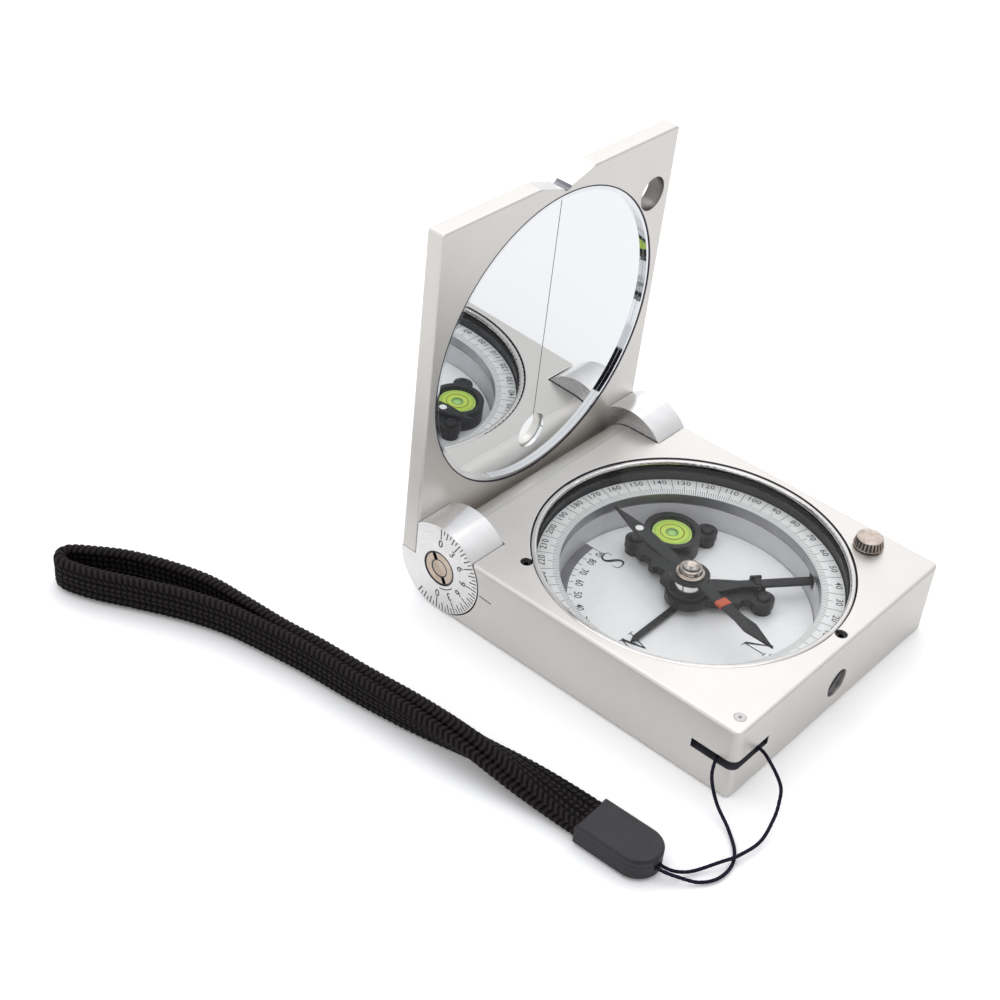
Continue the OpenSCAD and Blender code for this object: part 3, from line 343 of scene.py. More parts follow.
def level_liquid():
    """fluorescent yellow green spirit with a painted glow, a paler bubble, and a grey green outline of
    painted shade round it
    """
    m, tree, shader, spot = surface("level_spirit")
    radius = from_axis(tree, spot, (*VIAL, 0), (1, 1, 0))
    part = add(tree, "ShaderNodeMapRange", {"Value": radius}, {"From Min": 0, "From Max": 0.0048}).outputs[0]
    ramp = add(tree, "ShaderNodeValToRGB", {"Fac": part})
    # out from the middle, as shares of the radius: bubble, its outline of painted shade, liquid, painted
    # shade on the rim, painted highlight on the wall
    stops = [(0.0, "BBDCA0"), (0.15, "AAD294"), (0.23, "9AC280"), (0.262, "70905A"), (0.3, "82A45C"),
             (0.335, "CCE26A"), (0.6, "CADF62"), (0.78, "C2DA5E"), (0.83, "96B24E"), (0.875, "B9D670"),
             (1.0, "D2E68E")]
    while len(ramp.color_ramp.elements) < len(stops):
        ramp.color_ramp.elements.new(0.5)
    for stop, (place, colour) in zip(ramp.color_ramp.elements, stops):
        stop.position, stop.color = place, srgb(colour)
    tree.links.new(ramp.outputs[0], shader.inputs["Base Color"])
    # painted glow: the spirit's colour is given off as light
    tree.links.new(ramp.outputs[0], shader.inputs["Emission Color"])
    shader.inputs["Emission Strength"].default_value = 0.25
    shader.inputs["Roughness"].default_value = 0.12
    return m


def braided_yarn(name, dark, light, wear_and_highlight):
    """braided polyester: the mesh stores each stitch's height, from which painted shade darkens the gaps and
    painted light brightens the crowns, and fibres run over it, drawn 0.12 mm wide, coarser than real ones, so
    that they show"""
    m, tree, shader, spot = surface(name)
    height = add(tree, "ShaderNodeAttribute", attribute_name="relief").outputs["Fac"]
    fibre = grain(tree, spot, 0.12)
    crown = add(tree, "ShaderNodeMath", {0: fibre, 2: height}, {1: 0.3}, operation="MULTIPLY_ADD").outputs[0]
    # painted shade in the gaps, painted highlight on the crowns
    ramp = add(tree, "ShaderNodeValToRGB", {"Fac": crown})
    for stop, place, colour in zip(ramp.color_ramp.elements, (0.3, 1.0), (dark, light)):
        stop.position, stop.color = place, srgb(colour)
    top = ramp.color_ramp.elements.new(1.0)
    ramp.color_ramp.elements[1].position = 0.75
    top.color = srgb(wear_and_highlight)
    tree.links.new(ramp.outputs[0], shader.inputs["Base Color"])
    gloss = add(tree, "ShaderNodeMapRange", {"Value": fibre}, {"To Min": 0.42, "To Max": 0.62}).outputs[0]
    tree.links.new(gloss, shader.inputs["Roughness"])
    shader.inputs["Specular IOR Level"].default_value = 0.1
    bump = add(tree, "ShaderNodeBump", {"Height": fibre}, {"Distance": 0.06 * MM}).outputs[0]
    tree.links.new(bump, shader.inputs["Normal"])
    return m


# the strap's yarn is a neutral black, the string's a blue black; the palest colour of each is a painted
# highlight on the stitch crowns
WEBBING = braided_yarn("braided_webbing", "010101", "060506", "2A2226")
CORD = braided_yarn("braided_string", "05050E", "14121F", "26243A")

FINISH = {
    ALUMINIUM: ["case_block", "lid_plate", "lanyard_pin"], CHROME: ["bezel_ring"], WINDOW: ["window_glass"],
    RUBBER: ["glass_gasket"], LINER: ["chamber_sleeve"], BLACK_SCREW: ["bezel_screws", "bracket_screws"],
    # the dial screw is darkened as painted shade of its recess
    PLATE_WHITE: ["scale_plate"], LIFTER: ["centre_post", "needle_lifter"], DARK_STEEL: ["dial_screw"],
    STEEL: ["pivot_point", "lever_pin", "hinge_washers", "knuckle_screws"], NUT: ["hinge_pins", "hinge_nuts"],
    BLACK_METAL: ["level_bracket", "lever_stand", "lift_lever", "needle_bar", "clinometer_pointer"],
    vial_acrylic(): ["level_vial"], level_liquid(): ["level_fluid"],
    BRASS: ["pinion_bush", "knob_bush", "dial_pinion"],
    silvered_mirror(): ["mirror_glass"], MIRROR_CHROME: ["mirror_ring"], SIGHT: ["sight_window"],
    DISC_METAL: ["knuckle_left", "knuckle_right"], DIAL_WHITE: ["dial_ring"], KNOB: ["lock_knob"],
    NICKEL: ["knob_stem"], CAP: ["needle_cap"], JEWEL: ["needle_jewel"], ORANGE: ["counterweight"],
    CLASP: ["clasp_base", "clasp_cover"], CORD: ["string_left", "string_right"], WEBBING: ["wrist_strap"],
}


def first_finishes():
    for material, names in FINISH.items():
        for name in names:
            data = nodes[name].data
            if not data.materials:
                data.materials.append(material)
            for k in range(len(data.materials)):
                data.materials[k] = material


def lid_place(p):
    """x, distance from the hinge line and height above the lid's lower face of a point in millimetres"""
    q = Matrix.Rotation(math.radians(LID_DEG), 3, "X") @ (p - Vector((0, HINGE_Y, HINGE_Z)))
    return q.x, -q.y, q.z - (LID_LOW - HINGE_Z)


def refinish(node, material, test):
    """a second finish on the faces that test picks by their middle in millimetres and their normal"""
    data = nodes[node].data
    data.materials.append(material)
    for face in data.polygons:
        if test(Vector(face.center) / MM, Vector(face.normal)):
            face.material_index = len(data.materials) - 1


def spread_finishes():
    """walls, holes and grooves whose finish isn't that of the rest of their node"""
    def from_middle(p):
        return math.hypot(p.x, p.y - CENTRE_Y)

    def upright(lo, hi, low):
        return lambda p, n: lo < from_middle(p) < hi and abs(n.z) < 0.5 and p.z > low

    def lanyard_slot(p, n):
        near = math.hypot(p.x - LANYARD_AT[0], p.y - LANYARD_AT[1]) < 8.6
        return near and 7.5 < p.z < 9.9 and p.x > 0.05 - HALF_W and p.y > FRONT_Y + 0.05

    def knob_hole(p, n):
        x, s = lid_place(p)[:2]
        return abs(math.hypot(x - KNOB_HOLE[0], s - KNOB_HOLE[1]) - KNOB_HOLE_R) < 0.12

    def mirror_seat(p, n):
        x, s, h = lid_place(p)
        return abs(math.hypot(x, s - MIRROR_S) - MIRROR_SEAT_R) < 0.1 and h < 2.1

    def notch(p, n):
        x, s, h = lid_place(p)
        return abs(x) < 8.55 and 75.4 < s < 78.85 and 0.1 < h < 4.0

    def groove(p, n):
        turn = math.degrees(math.atan2(p.y - KNOB_AT[1], p.x - KNOB_AT[0])) + 38.42
        off_groove = abs((turn + KNURL_STEP / 2) % KNURL_STEP - KNURL_STEP / 2)
        return abs(n.z) < 0.6 and p.z > 18.35 and off_groove < 4.3

    def nut_slot(p, n):
        return 36.5 < abs(p.x) < 37.3 and math.hypot(p.y - HINGE_Y, p.z - HINGE_Z) < 3.9

    refinish("case_block", CHAMBER, upright(0, 29, 3))
    # painted shade: near black on the seat round the dial
    refinish("case_block", BORE_BLACK, upright(33, 34.8, 12.4))
    # painted shade on the bezel's seat and in the lanyard slot
    refinish("case_block", BORE_DARK, upright(34.8, 35.6, 12.4))
    refinish("case_block", BORE_DARK, lanyard_slot)
    refinish("dial_ring", DIAL_EDGE, lambda p, n: from_middle(p) < 28.8 and abs(n.z) < 0.3)
    # painted shade: near black on the liner's lip
    refinish("chamber_sleeve", BORE_BLACK, lambda p, n: p.z > 14.3)
    # painted shade in the knob hole
    refinish("lid_plate", BORE_METAL, knob_hole)
    # painted reflection: dark blue on the mirror's seat
    refinish("lid_plate", NAVY_LINE, mirror_seat)
    refinish("lid_plate", CUT_BRIGHT, notch)
    # painted shade in the notch's narrow slot
    refinish("lid_plate", CUT_DARK, lambda p, n: notch(p, n) and abs(p.x) < 1.25)
    # painted shade in the knob's grooves and the hinge nuts' slots
    refinish("lock_knob", KNOB_GROOVE, groove)
    refinish("hinge_nuts", NUT_SLOT, nut_slot)


first_finishes()
spread_finishes()

# the cords' routes in millimetres, point for point those of the CAD source; the strap's points add its
# roll in degrees and the spacing of its two legs
STRING_LEFT = [
    (-32.2, -40.6, 8.7), (-33.8, -40.0, 8.7), (-35.6, -40.2, 8.7), (-38.2, -41.0, 8.3), (-40.6, -42.4, 6.4),
    (-42.2, -45.4, 3.0), (-44.2, -50.0, 0.9), (-47.6, -54.0, 0.5), (-51.4, -55.8, 0.5), (-55.6, -55.6, 0.5),
    (-58.8, -53.6, 0.6), (-61.2, -50.8, 1.6), (-63.0, -48.2, 2.6), (-63.1, -46.0, 2.7)]
STRING_RIGHT = [
    (-32.2, -40.6, 8.7), (-31.0, -42.0, 8.6), (-28.7, -45.0, 8.2), (-29.9, -48.6, 7.8), (-32.2, -52.9, 6.3),
    (-34.7, -54.6, 4.6), (-37.5, -55.6, 2.9), (-42.6, -56.4, 1.3), (-48.6, -55.6, 1.5), (-52.6, -54.0, 1.5),
    (-57.4, -51.4, 0.8), (-60.4, -49.6, 1.6), (-62.0, -47.9, 2.6), (-62.1, -46.0, 2.7)]
STRAP = [
    (-63.0, -33.6, 2.7, 90, 1.95), (-63.3, -27.0, 2.7, 90, 2.15), (-64.5, -16.0, 3.6, 68, 2.4),
    (-66.2, -3.0, 4.8, 38, 2.6), (-68.0, 11.0, 4.7, 14, 2.6), (-69.8, 25.0, 4.5, 4, 2.5),
    (-70.9, 37.0, 4.4, 0, 2.5), (-72.4, 47.0, 4.4, 0, 2.7), (-74.0, 58.0, 4.4, 0, 4.1),
    (-76.4, 68.0, 4.4, 0, 6.7), (-80.6, 78.0, 4.4, 0, 8.5), (-84.7, 86.0, 4.4, 0, 9.0)]
STRAP_TURN = [(-91.6, 92.6, 4.4), (-90.8, 95.6, 4.4), (-88.2, 95.9, 4.4), (-84.6, 92.0, 4.4)]
STRAP_W = 8.0
STRING_D = 0.75
# length of a stitch of the strap, and how far it leans over one ridge as a share of that
STITCH, LEAN = 1.35, 0.55
# how far inside the strap its skin lies before the stitches lift it
SKIN = 0.12


def smooth(a, b, c, d, t):
    """share t of the way from b to c on a smooth curve, with a before and d after; numbers or vectors"""
    square = 2 * a - 5 * b + 4 * c - d
    cube = 3 * b - a - 3 * c + d
    return 0.5 * (2 * b + (c - a) * t + square * t * t + cube * t ** 3)


def neighbours(route, u):
    """the four points of the route round u, and how far u is from the second of them to the third"""
    last = len(route) - 1
    i = min(last - 1, max(0, int(math.floor(u))))
    return [route[min(last, max(0, i + k))] for k in (-1, 0, 1, 2)], u - i


def along(route, u):
    """point u on the smooth curve through the route, which counts its points from 0"""
    points, t = neighbours(route, u)
    return smooth(*(Vector(p) for p in points), t)


def even_steps(route, step, lo=0.0, hi=None):
    """values of u that are about step millimetres apart, and the length up to each"""
    hi = len(route) - 1 if hi is None else hi
    n = 2400  # fine steps along the route
    us = [lo + (hi - lo) * k / n for k in range(n + 1)]
    at = [0.0]
    prev = along(route, us[0])
    for u in us[1:]:
        here = along(route, u)
        at.append(at[-1] + (Vector(here[:3]) - Vector(prev[:3])).length)
        prev = here
    count = max(2, int(round(at[-1] / step)))
    out, k = [], 0
    for j in range(count + 1):
        want = at[-1] * j / count
        while k < n - 1 and at[k + 1] < want:
            k += 1
        f = (want - at[k]) / max(at[k + 1] - at[k], 1e-9)
        out.append((us[k] + f * (us[k + 1] - us[k]), want))
    return out


def tube_mesh(rings):
    """points and faces of a closed tube through rings of points"""
    n, m = len(rings), len(rings[0])
    verts = [p for ring in rings for p in ring]
    faces = [(i * m + j, i * m + (j + 1) % m, (i + 1) * m + (j + 1) % m, (i + 1) * m + j)
             for i in range(n - 1) for j in range(m)]
    faces.append(tuple(range(m))[::-1])
    faces.append(tuple((n - 1) * m + j for j in range(m)))
    return verts, faces


def store_relief(obj, values):
    """each point's height on its stitch, which braided_yarn reads as painted light and shade"""
    layer = obj.data.attributes.new("relief", "FLOAT", "POINT")
    layer.data.foreach_set("value", values)


def string_piece(name, route):
    """thin braided string: eight strands wound both ways"""
    steps = even_steps(route, 0.16)
    rings, relief, path = [], [], []
    sides = 16
    for u, s in steps:
        p = along(route, u)
        t = (along(route, min(len(route) - 1, u + 0.02)) - along(route, max(0, u - 0.02))).normalized()
        a = t.cross(Vector((0, 0, 1))).normalized()
        b = t.cross(a)
        ring = []
        for j in range(sides):
            ang = 2 * math.pi * j / sides
            h = max(math.cos(4 * ang + s * 5.2), math.cos(4 * ang - s * 5.2))
            r = STRING_D / 2 - 0.035 * (1 - h)
            ring.append((p + (a * math.cos(ang) + b * math.sin(ang)) * r) * MM)
            # painted light and shade: darker between the strands, lighter on their tops
            relief.append(0.5 + 0.5 * h)
        rings.append(ring)
        path.append(tuple(p * MM))
    verts, faces = tube_mesh(rings)
    obj = new_mesh(name, verts, faces, "case", CORD, True)
    store_relief(obj, relief)
    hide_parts(name.replace("_braid", ""))


def strap_side(s):
    """one leg of the strap, each point with the direction of its width"""
    return [(x + s * w / 2 * math.cos(math.radians(r)), y, z + s * w / 2 * math.sin(math.radians(r)),
             -math.sin(math.radians(r)), 0, math.cos(math.radians(r))) for x, y, z, r, w in STRAP]


STRAP_PATH = strap_side(-1) + [(*q, 0, 0, 1) for q in STRAP_TURN] + strap_side(1)[::-1]


def strap_at(u):
    """place on the strap's path and direction of its width, in plain numbers, finer than a Vector's"""
    points, t = neighbours(STRAP_PATH, u)
    return [smooth(*column, t) for column in zip(*points)]


def stitch_rise(s, across):
    """how far up its slanted stitch a point is, from 0 in the gap to 1 on the crown"""
    q = 2 * ((s / STITCH + LEAN * across) % 1) - 1
    return max(0.0, 1 - abs(q) ** 2.2) ** 0.6


def braid(s, w):
    """the flat braid at length s and across w, from -1 to 1: three rolled ridges of slanted stitches that
    meet in a V; gives how far up the ridge and up the stitch the point is, each from 0 to 1"""
    ridge = (w + 1) * 1.5
    f = 2 * (ridge - math.floor(ridge)) - 1
    g = 2 * abs(f) - 1
    stitch = stitch_rise(s, abs(f)) * max(0.0, 1 - abs(g) ** 2.8) ** 0.6
    return math.sqrt(max(0.0, 1 - 0.95 * f * f)), stitch


def strap_profile(thick):
    """points round the strap: (across, up, outward across, outward up)"""
    n, turns = 42, 8
    h = thick / 2 - SKIN
    bulge = h * 0.8
    flat = STRAP_W / 2 - SKIN - bulge
    out = []
    for side in (1, -1):
        out += [(side * (flat - 2 * flat * k / n), side * h, 0, side) for k in range(n + 1)]
        for k in range(1, turns):
            a = side * math.pi / 2 + math.pi * k / turns
            out.append((bulge * math.cos(a) - side * flat, h * math.sin(a), math.cos(a), math.sin(a)))
    return out


def strap_piece(name, lo, hi, from_turn):
    """one leg of the braided strap; a leg that is built from the far turn gets its path turned round, so
    that both paths start at the clasp"""
    steps = even_steps(STRAP_PATH, 0.18, lo, hi)
    rings, relief, path = [], [], []
    last = len(STRAP_PATH) - 1
    for u, s in steps:
        q = strap_at(u)
        q1, q0 = strap_at(min(last, u + 0.05)), strap_at(max(0, u - 0.05))
        p = Vector(q[:3])
        t = (Vector(q1[:3]) - Vector(q0[:3])).normalized()
        side = t.cross(Vector(q[3:])).normalized()
        wide = side.cross(t)
        ring = []
        # the legs lie against each other along the bundle, so there the braid is as thick as their spacing
        k = min(u, last - u)
        room = along([(r[4], 0, 0) for r in STRAP], min(k, len(STRAP) - 1)).x
        for x, y, ox, oy in strap_profile(min(3.0, room + 0.6)):
            crown, stitch = braid(s, x / (STRAP_W / 2))
            if abs(ox) > 0.3:
                crown, stitch = 0.8, stitch_rise(s, abs(oy))
            # the middle of the braid sinks a little between its rounder edges
            dip = 0.1 * (1 - (x / (STRAP_W / 2)) ** 2) if abs(oy) > 0.9 else 0
            lift = 0.32 * stitch + 0.24 * crown - 0.38 - dip
            ring.append((p + wide * (x + ox * lift) + side * (y + oy * lift)) * MM)
            # painted light and shade: dark in the gaps between stitches, lighter up the stitches and on the
            # ridges' crowns
            relief.append(stitch * (0.45 + 0.55 * crown))
        rings.append(ring)
        path.append(tuple(p * MM))
    verts, faces = tube_mesh(rings)
    obj = new_mesh(name, verts, faces, "case", WEBBING, True)
    store_relief(obj, relief)
    thin = path[::8] + [path[-1]]
    if from_turn:
        thin = thin[::-1]
    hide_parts("wrist_strap")


string_piece("string_left_braid", STRING_LEFT)
string_piece("string_right_braid", STRING_RIGHT)
MIDDLE = (len(STRAP_PATH) - 1) / 2
strap_piece("strap_inner_leg", 0, MIDDLE, False)
strap_piece("strap_outer_leg", MIDDLE, len(STRAP_PATH) - 1, True)


class Print:
    """flat marks drawn in millimetres on a surface that place() puts in the row frame"""

    def __init__(self, place):
        self.place = place
        self.verts = []
        self.faces = []

    def polygon(self, points):
        n = len(self.verts)
        self.verts += [self.place(*p) * MM for p in points]
        self.faces.append(tuple(range(n, n + len(points))))

    def line(self, a, b, w):
        d = Vector((b[0] - a[0], b[1] - a[1]))
        n = Vector((-d.y, d.x)).normalized() * w / 2
        self.polygon([(a[0] - n.x, a[1] - n.y), (b[0] - n.x, b[1] - n.y), (b[0] + n.x, b[1] + n.y),
                      (a[0] + n.x, a[1] + n.y)])

    def spoke(self, deg, r0, r1, w):
        c, s = math.cos(math.radians(deg)), math.sin(math.radians(deg))
        self.line((r0 * c, r0 * s), (r1 * c, r1 * s), w)

    def arc(self, r, a0, a1, w, step=1.5):
        n = max(1, int(abs(a1 - a0) / step))
        for k in range(n):
            b, c = (math.radians(a0 + (a1 - a0) * j / n) for j in (k, k + 1))
            self.polygon([((r - w / 2) * math.cos(b), (r - w / 2) * math.sin(b)),
                          ((r + w / 2) * math.cos(b), (r + w / 2) * math.sin(b)),
                          ((r + w / 2) * math.cos(c), (r + w / 2) * math.sin(c)),
                          ((r - w / 2) * math.cos(c), (r - w / 2) * math.sin(c))])

    def stroke(self, points, widths):
        """a line of changing width whose joints are mitred"""
        for k in range(len(points) - 1):
            a, b = Vector(points[k]), Vector(points[k + 1])
            before = Vector(points[max(0, k - 1)])
            after = Vector(points[min(len(points) - 1, k + 2)])
            da, db = b - before, after - a
            na = Vector((-da.y, da.x)).normalized() * widths[k] / 2
            nb = Vector((-db.y, db.x)).normalized() * widths[k + 1] / 2
            self.polygon([tuple(a - na), tuple(b - nb), tuple(b + nb), tuple(a + na)])

    def text(self, words, height, centre, deg, wide=0.9, gap=1.0, bold=0.0):
        """words centred on a point, with the baseline turned by deg"""
        curve = bpy.data.curves.new("words", "FONT")
        curve.body = words
        curve.size = height / 0.72
        curve.resolution_u = 3
        curve.space_character = gap
        curve.offset = bold
        obj = bpy.data.objects.new("words", curve)
        mesh = bpy.data.meshes.new_from_object(obj)
        xs = [v.co.x for v in mesh.vertices]
        ys = [v.co.y for v in mesh.vertices]
        mx, my = (min(xs) + max(xs)) / 2, (min(ys) + max(ys)) / 2
        c, s = math.cos(math.radians(deg)), math.sin(math.radians(deg))
        n = len(self.verts)
        for v in mesh.vertices:
            x, y = (v.co.x - mx) * wide, v.co.y - my
            self.verts.append(self.place(centre[0] + x * c - y * s, centre[1] + x * s + y * c) * MM)
        self.faces += [tuple(n + i for i in p.vertices) for p in mesh.polygons]
        bpy.data.objects.remove(obj)
        bpy.data.curves.remove(curve)
        bpy.data.meshes.remove(mesh)

    def done(self, name, body, material):
        return new_mesh(name, self.verts, self.faces, body, material, False)


def on_dial(x, y):
    """the dial's face, and the chamfer inside its edge"""
    return Vector((x, CENTRE_Y + y, DIAL_TOP + 0.02 - max(0, DIAL_EDGE_R - math.hypot(x, y))))


def on_plate(x, y):
    return Vector((x, CENTRE_Y + y, PLATE_TOP + 0.02))


def on_hinge_side(out):
    """a face square to the hinge on the left, seen from outside: u towards the front, v up from the hinge"""
    return lambda u, v: Vector((-out, HINGE_Y - u, HINGE_Z + v))


def on_lid(x, s, n=0.0):
    """lid coordinates: x, distance s from the hinge line, height n above the closed lid's lower face"""
    p = Vector((x, -s, LID_LOW - HINGE_Z + n))
    return Matrix.Rotation(math.radians(-LID_DEG), 3, "X") @ p + Vector((0, HINGE_Y, HINGE_Z))


def print_dial():
    """a line each degree, those of the fives longest as they pass between the numbers"""
    p = Print(on_dial)
    for deg in range(360):
        a = deg - 90 + DIAL_TURN
        end = 33.6 if deg % 10 == 5 else 31.1 if deg % 10 == 0 else 30.1
        p.spoke(a, 28.62, DIAL_EDGE_R, 0.1)
        p.spoke(a, DIAL_EDGE_R, end, 0.12 if deg % 5 == 0 else 0.1)
    for deg in range(0, 360, 10):
        c, s = (f(math.radians(deg - 90 + DIAL_TURN)) for f in (math.cos, math.sin))
        p.text(str(deg), 1.52, (32.49 * c, 32.49 * s), deg - 180 + DIAL_TURN, 1.045, 1.08, 0.01)
    p.done("dial_print", "dial", INK)


def serif_n(p, x, y, h=5.1, w=4.4):
    """roman N with its middle at x, y"""
    l, r, b, t = x - w / 2, x + w / 2, y - h / 2, y + h / 2
    p.line((l + 0.4, b), (l + 0.4, t), 0.3)
    p.line((r - 0.4, b), (r - 0.4, t), 0.3)
    p.polygon([(l + 0.05, t), (l + 1.0, t), (r - 0.25, b), (r - 0.55, b)])
    for cx, cy in ((l + 0.4, b), (r - 0.4, t), (l + 0.1, t)):
        p.line((cx - 0.7, cy), (cx + 0.7, cy), 0.2)


def serif_w(p, x, y, h=5.3, w=6.1):
    b, t = y - h / 2, y + h / 2
    for k in (0, 1):
        l = x - w / 2 + k * w / 2
        m, r = l + w / 4, l + w / 2
        p.polygon([(l - 0.4, t), (l + 0.5, t), (m + 0.28, b), (m - 0.1, b)])
        p.line((m + 0.05, b), (r, t), 0.3)
    for cx in (x - w / 2, x, x + w / 2):
        p.line((cx - 0.75, t), (cx + 0.75, t), 0.2)


def serif_s(p, x, y, h=5.3, w=3.1):
    shape = [(0.42, 0.72), (0.44, 0.9), (0.33, 0.985), (0.08, 1.0), (-0.22, 0.96), (-0.4, 0.84), (-0.4, 0.7),
             (-0.24, 0.58), (0.0, 0.49), (0.26, 0.38), (0.42, 0.26), (0.42, 0.12), (0.24, 0.03), (-0.08, 0.0),
             (-0.33, 0.03), (-0.45, 0.12), (-0.45, 0.3)]
    width = [0.12, 0.18, 0.22, 0.24, 0.34, 0.52, 0.66, 0.78, 0.82, 0.78, 0.66, 0.52, 0.36, 0.24, 0.22, 0.18,
             0.12]
    dense = [along([(*q, wd) for q, wd in zip(shape, width)], k / 4) for k in range(4 * (len(shape) - 1) + 1)]
    p.stroke([(x + d[0] * w, y - h / 2 + d[1] * h) for d in dense], [max(0.1, d[2]) for d in dense])


def print_plate():
    """the letters, the clinometer's scale and its grey band"""
    letters = Print(on_plate)
    serif_n(letters, 0.9, -19.4)
    serif_s(letters, -0.2, 20.3)
    serif_w(letters, -19.6, -0.4)
    letters.done("plate_letters", "case", LETTER_INK)
    p = Print(on_plate)
    for label in range(0, 91, 5):
        for side in ((1, -1) if label else (1,)):
            p.spoke(180 - side * label, 24.7 if label == 90 else 24.9, 28.2 if label == 90 else 26.1, 0.14)
    for label in range(0, 91, 10):
        for side in ((1, -1) if label else (1,)):
            a = 180 - side * (label - (1.4 if label == 90 else 0))
            c, s = math.cos(math.radians(a)), math.sin(math.radians(a))
            p.text(str(label), 1.8, (23.6 * c, 23.6 * s), a + 90, 0.85, 1.0, 0.02)
    p.done("plate_scale", "case", INK)
    band = Print(lambda x, y: on_plate(x, y) - Vector((0, 0, 0.008)))
    band.arc(27.2, 90, 270, 2.2, 2)
    band.done("plate_scale_band", "case", BAND_INK)
    lines = Print(on_plate)
    for r in (26.15, 26.7, 27.25, 27.8, 28.25):
        lines.arc(r, 90, 270, 0.13, 3)
    for deg in range(90, 271, 2):
        lines.spoke(deg, 26.1, 28.25, 0.1)
    lines.done("plate_band_lines", "case", BAND_LINE)


def print_disc():
    """the scale on the hinge disc, the dark lines round its nut, blue with painted reflection, and its index
    on the case
    """
    p = Print(on_hinge_side(HALF_W + 0.015))
    for a in range(-120, 91, 5):
        inner = 8.0 if a % 30 == 0 and a >= -90 else 8.9 if a % 10 == 0 else 9.7
        p.spoke(a, inner, 10.85, 0.34 if a == -120 else 0.27 if a % 10 == 0 else 0.24)
    for a, label in ((90, "0"), (60, "3"), (30, "6"), (0, "9"), (-30, "6"), (-60, "3"), (-90, "0")):
        c, s = math.cos(math.radians(a)), math.sin(math.radians(a))
        p.text(label, 1.9, (6.85 * c, 6.85 * s), a - 90, 0.98, 1.0, 0.03)
    p.arc(5.15, -84, -38, 0.26, 4)
    p.done("disc_print", "lid", ENGRAVED)
    # dark blue ring round the nut: painted reflection
    rim = Print(on_hinge_side(HALF_W + 0.012))
    rim.arc(4.2, 0, 360, 0.22, 8)
    rim.done("nut_recess_line", "lid", NAVY_LINE)
    # dark blue rings in the nut's joint: painted reflection
    joint = Print(on_hinge_side(HALF_W - 0.085))
    joint.arc(2.12, 0, 360, 0.26, 10)
    joint.arc(3.9, 0, 360, 0.16, 8)
    joint.done("nut_joint_line", "case", NAVY_LINE)
    index = Print(on_hinge_side(HALF_W + 0.012))
    index.line((11.75, -0.35), (15.2, -0.55), 0.28)
    index.done("disc_index", "case", ENGRAVED)


def print_lid():
    """the mirror's sight line and its dark outline, blue with painted reflection, and the joints between lid
    and hinge discs
    """
    sight = Print(lambda x, s: on_lid(x, s, 1.13))
    sight.line((0, 19.0), (0, 74.2), 0.17)
    sight.done("sight_line", "lid", INK)
    # dark blue outline of the mirror: painted reflection in its gap
    rim = Print(lambda x, y: on_lid(x, MIRROR_S + y, -0.015))
    rim.arc(35.22, 0, 360, 0.3, 2)
    rim.done("mirror_outline", "lid", NAVY_LINE)
    face = Print(lambda x, s: on_lid(x, s, -0.012))
    for side in (-1, 1):
        face.line((side * 37.3, 8.55), (side * 27.2, 8.55), 0.12)
    face.done("lid_face_joint", "lid", JOINT_LINE)
    for side, name in ((-1, "left"), (1, "right")):
        edge = Print(lambda s, n: on_lid(side * (HALF_W + 0.012), s, n))
        edge.line((8.5, 0.1), (0.05, 0.0), 0.13)
        edge.line((0.05, 0.0), (0.05, 4.0), 0.13)
        edge.done("lid_edge_joint_" + name, "lid", JOINT_LINE)


def print_case_top():
    """the lanyard pin, ground flush with the case, shows as a faint grey spot with a darker middle"""
    for name, r, w, z, ink in (("lanyard_pin_spot", 0.6, 1.1, 17.812, PIN_GREY),
                               ("lanyard_pin_middle", 0.2, 0.35, 17.816, BAND_INK)):
        p = Print(lambda x, y: Vector((LANYARD_AT[0] + x, LANYARD_AT[1] + y, z)))
        p.arc(r, 0, 360, w, 10)
        p.done(name, "case", ink)


def lathe(name, profile, material, replaced):
    """turned piece round the needle's axis from (radius, height) points"""
    n = 64
    around = [2 * math.pi * k / n for k in range(n)]
    rings = [[Vector((r * math.cos(a), CENTRE_Y + r * math.sin(a), z)) * MM for a in around]
             for r, z in profile]
    verts, faces = tube_mesh(rings)
    obj = new_mesh(name, verts, faces, "needle", material, True)
    sharp = obj.modifiers.new("crisp_steps", "EDGE_SPLIT")
    sharp.split_angle = math.radians(28)
    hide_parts(replaced)


def needle_cap_pieces():
    """the cap: a thin flange on the needle's hub, a boss with a rolled shoulder, and its clear domed stone"""
    z = 12.07
    cap = [(1.15, z), (3.1, z), (3.22, z + 0.12), (3.22, z + 0.42), (3.1, z + 0.55), (2.72, z + 0.62),
           (2.6, z + 0.75), (2.6, z + 1.35), (2.52, z + 1.65), (2.35, z + 1.82), (2.12, z + 1.86),
           (2.0, z + 1.8), (2.0, z + 1.5), (0.4, z + 1.45), (0.4, z + 1.3), (1.15, z + 1.2)]
    stone = [(0.02, z + 1.52), (1.96, z + 1.56), (1.96, z + 1.95), (1.85, z + 2.2), (1.6, z + 2.42),
             (1.2, z + 2.6), (0.7, z + 2.71), (0.25, z + 2.75), (0.02, z + 2.755)]
    lathe("needle_cap_turned", cap, CAP, "needle_cap")
    lathe("needle_stone", stone, JEWEL, "needle_jewel")


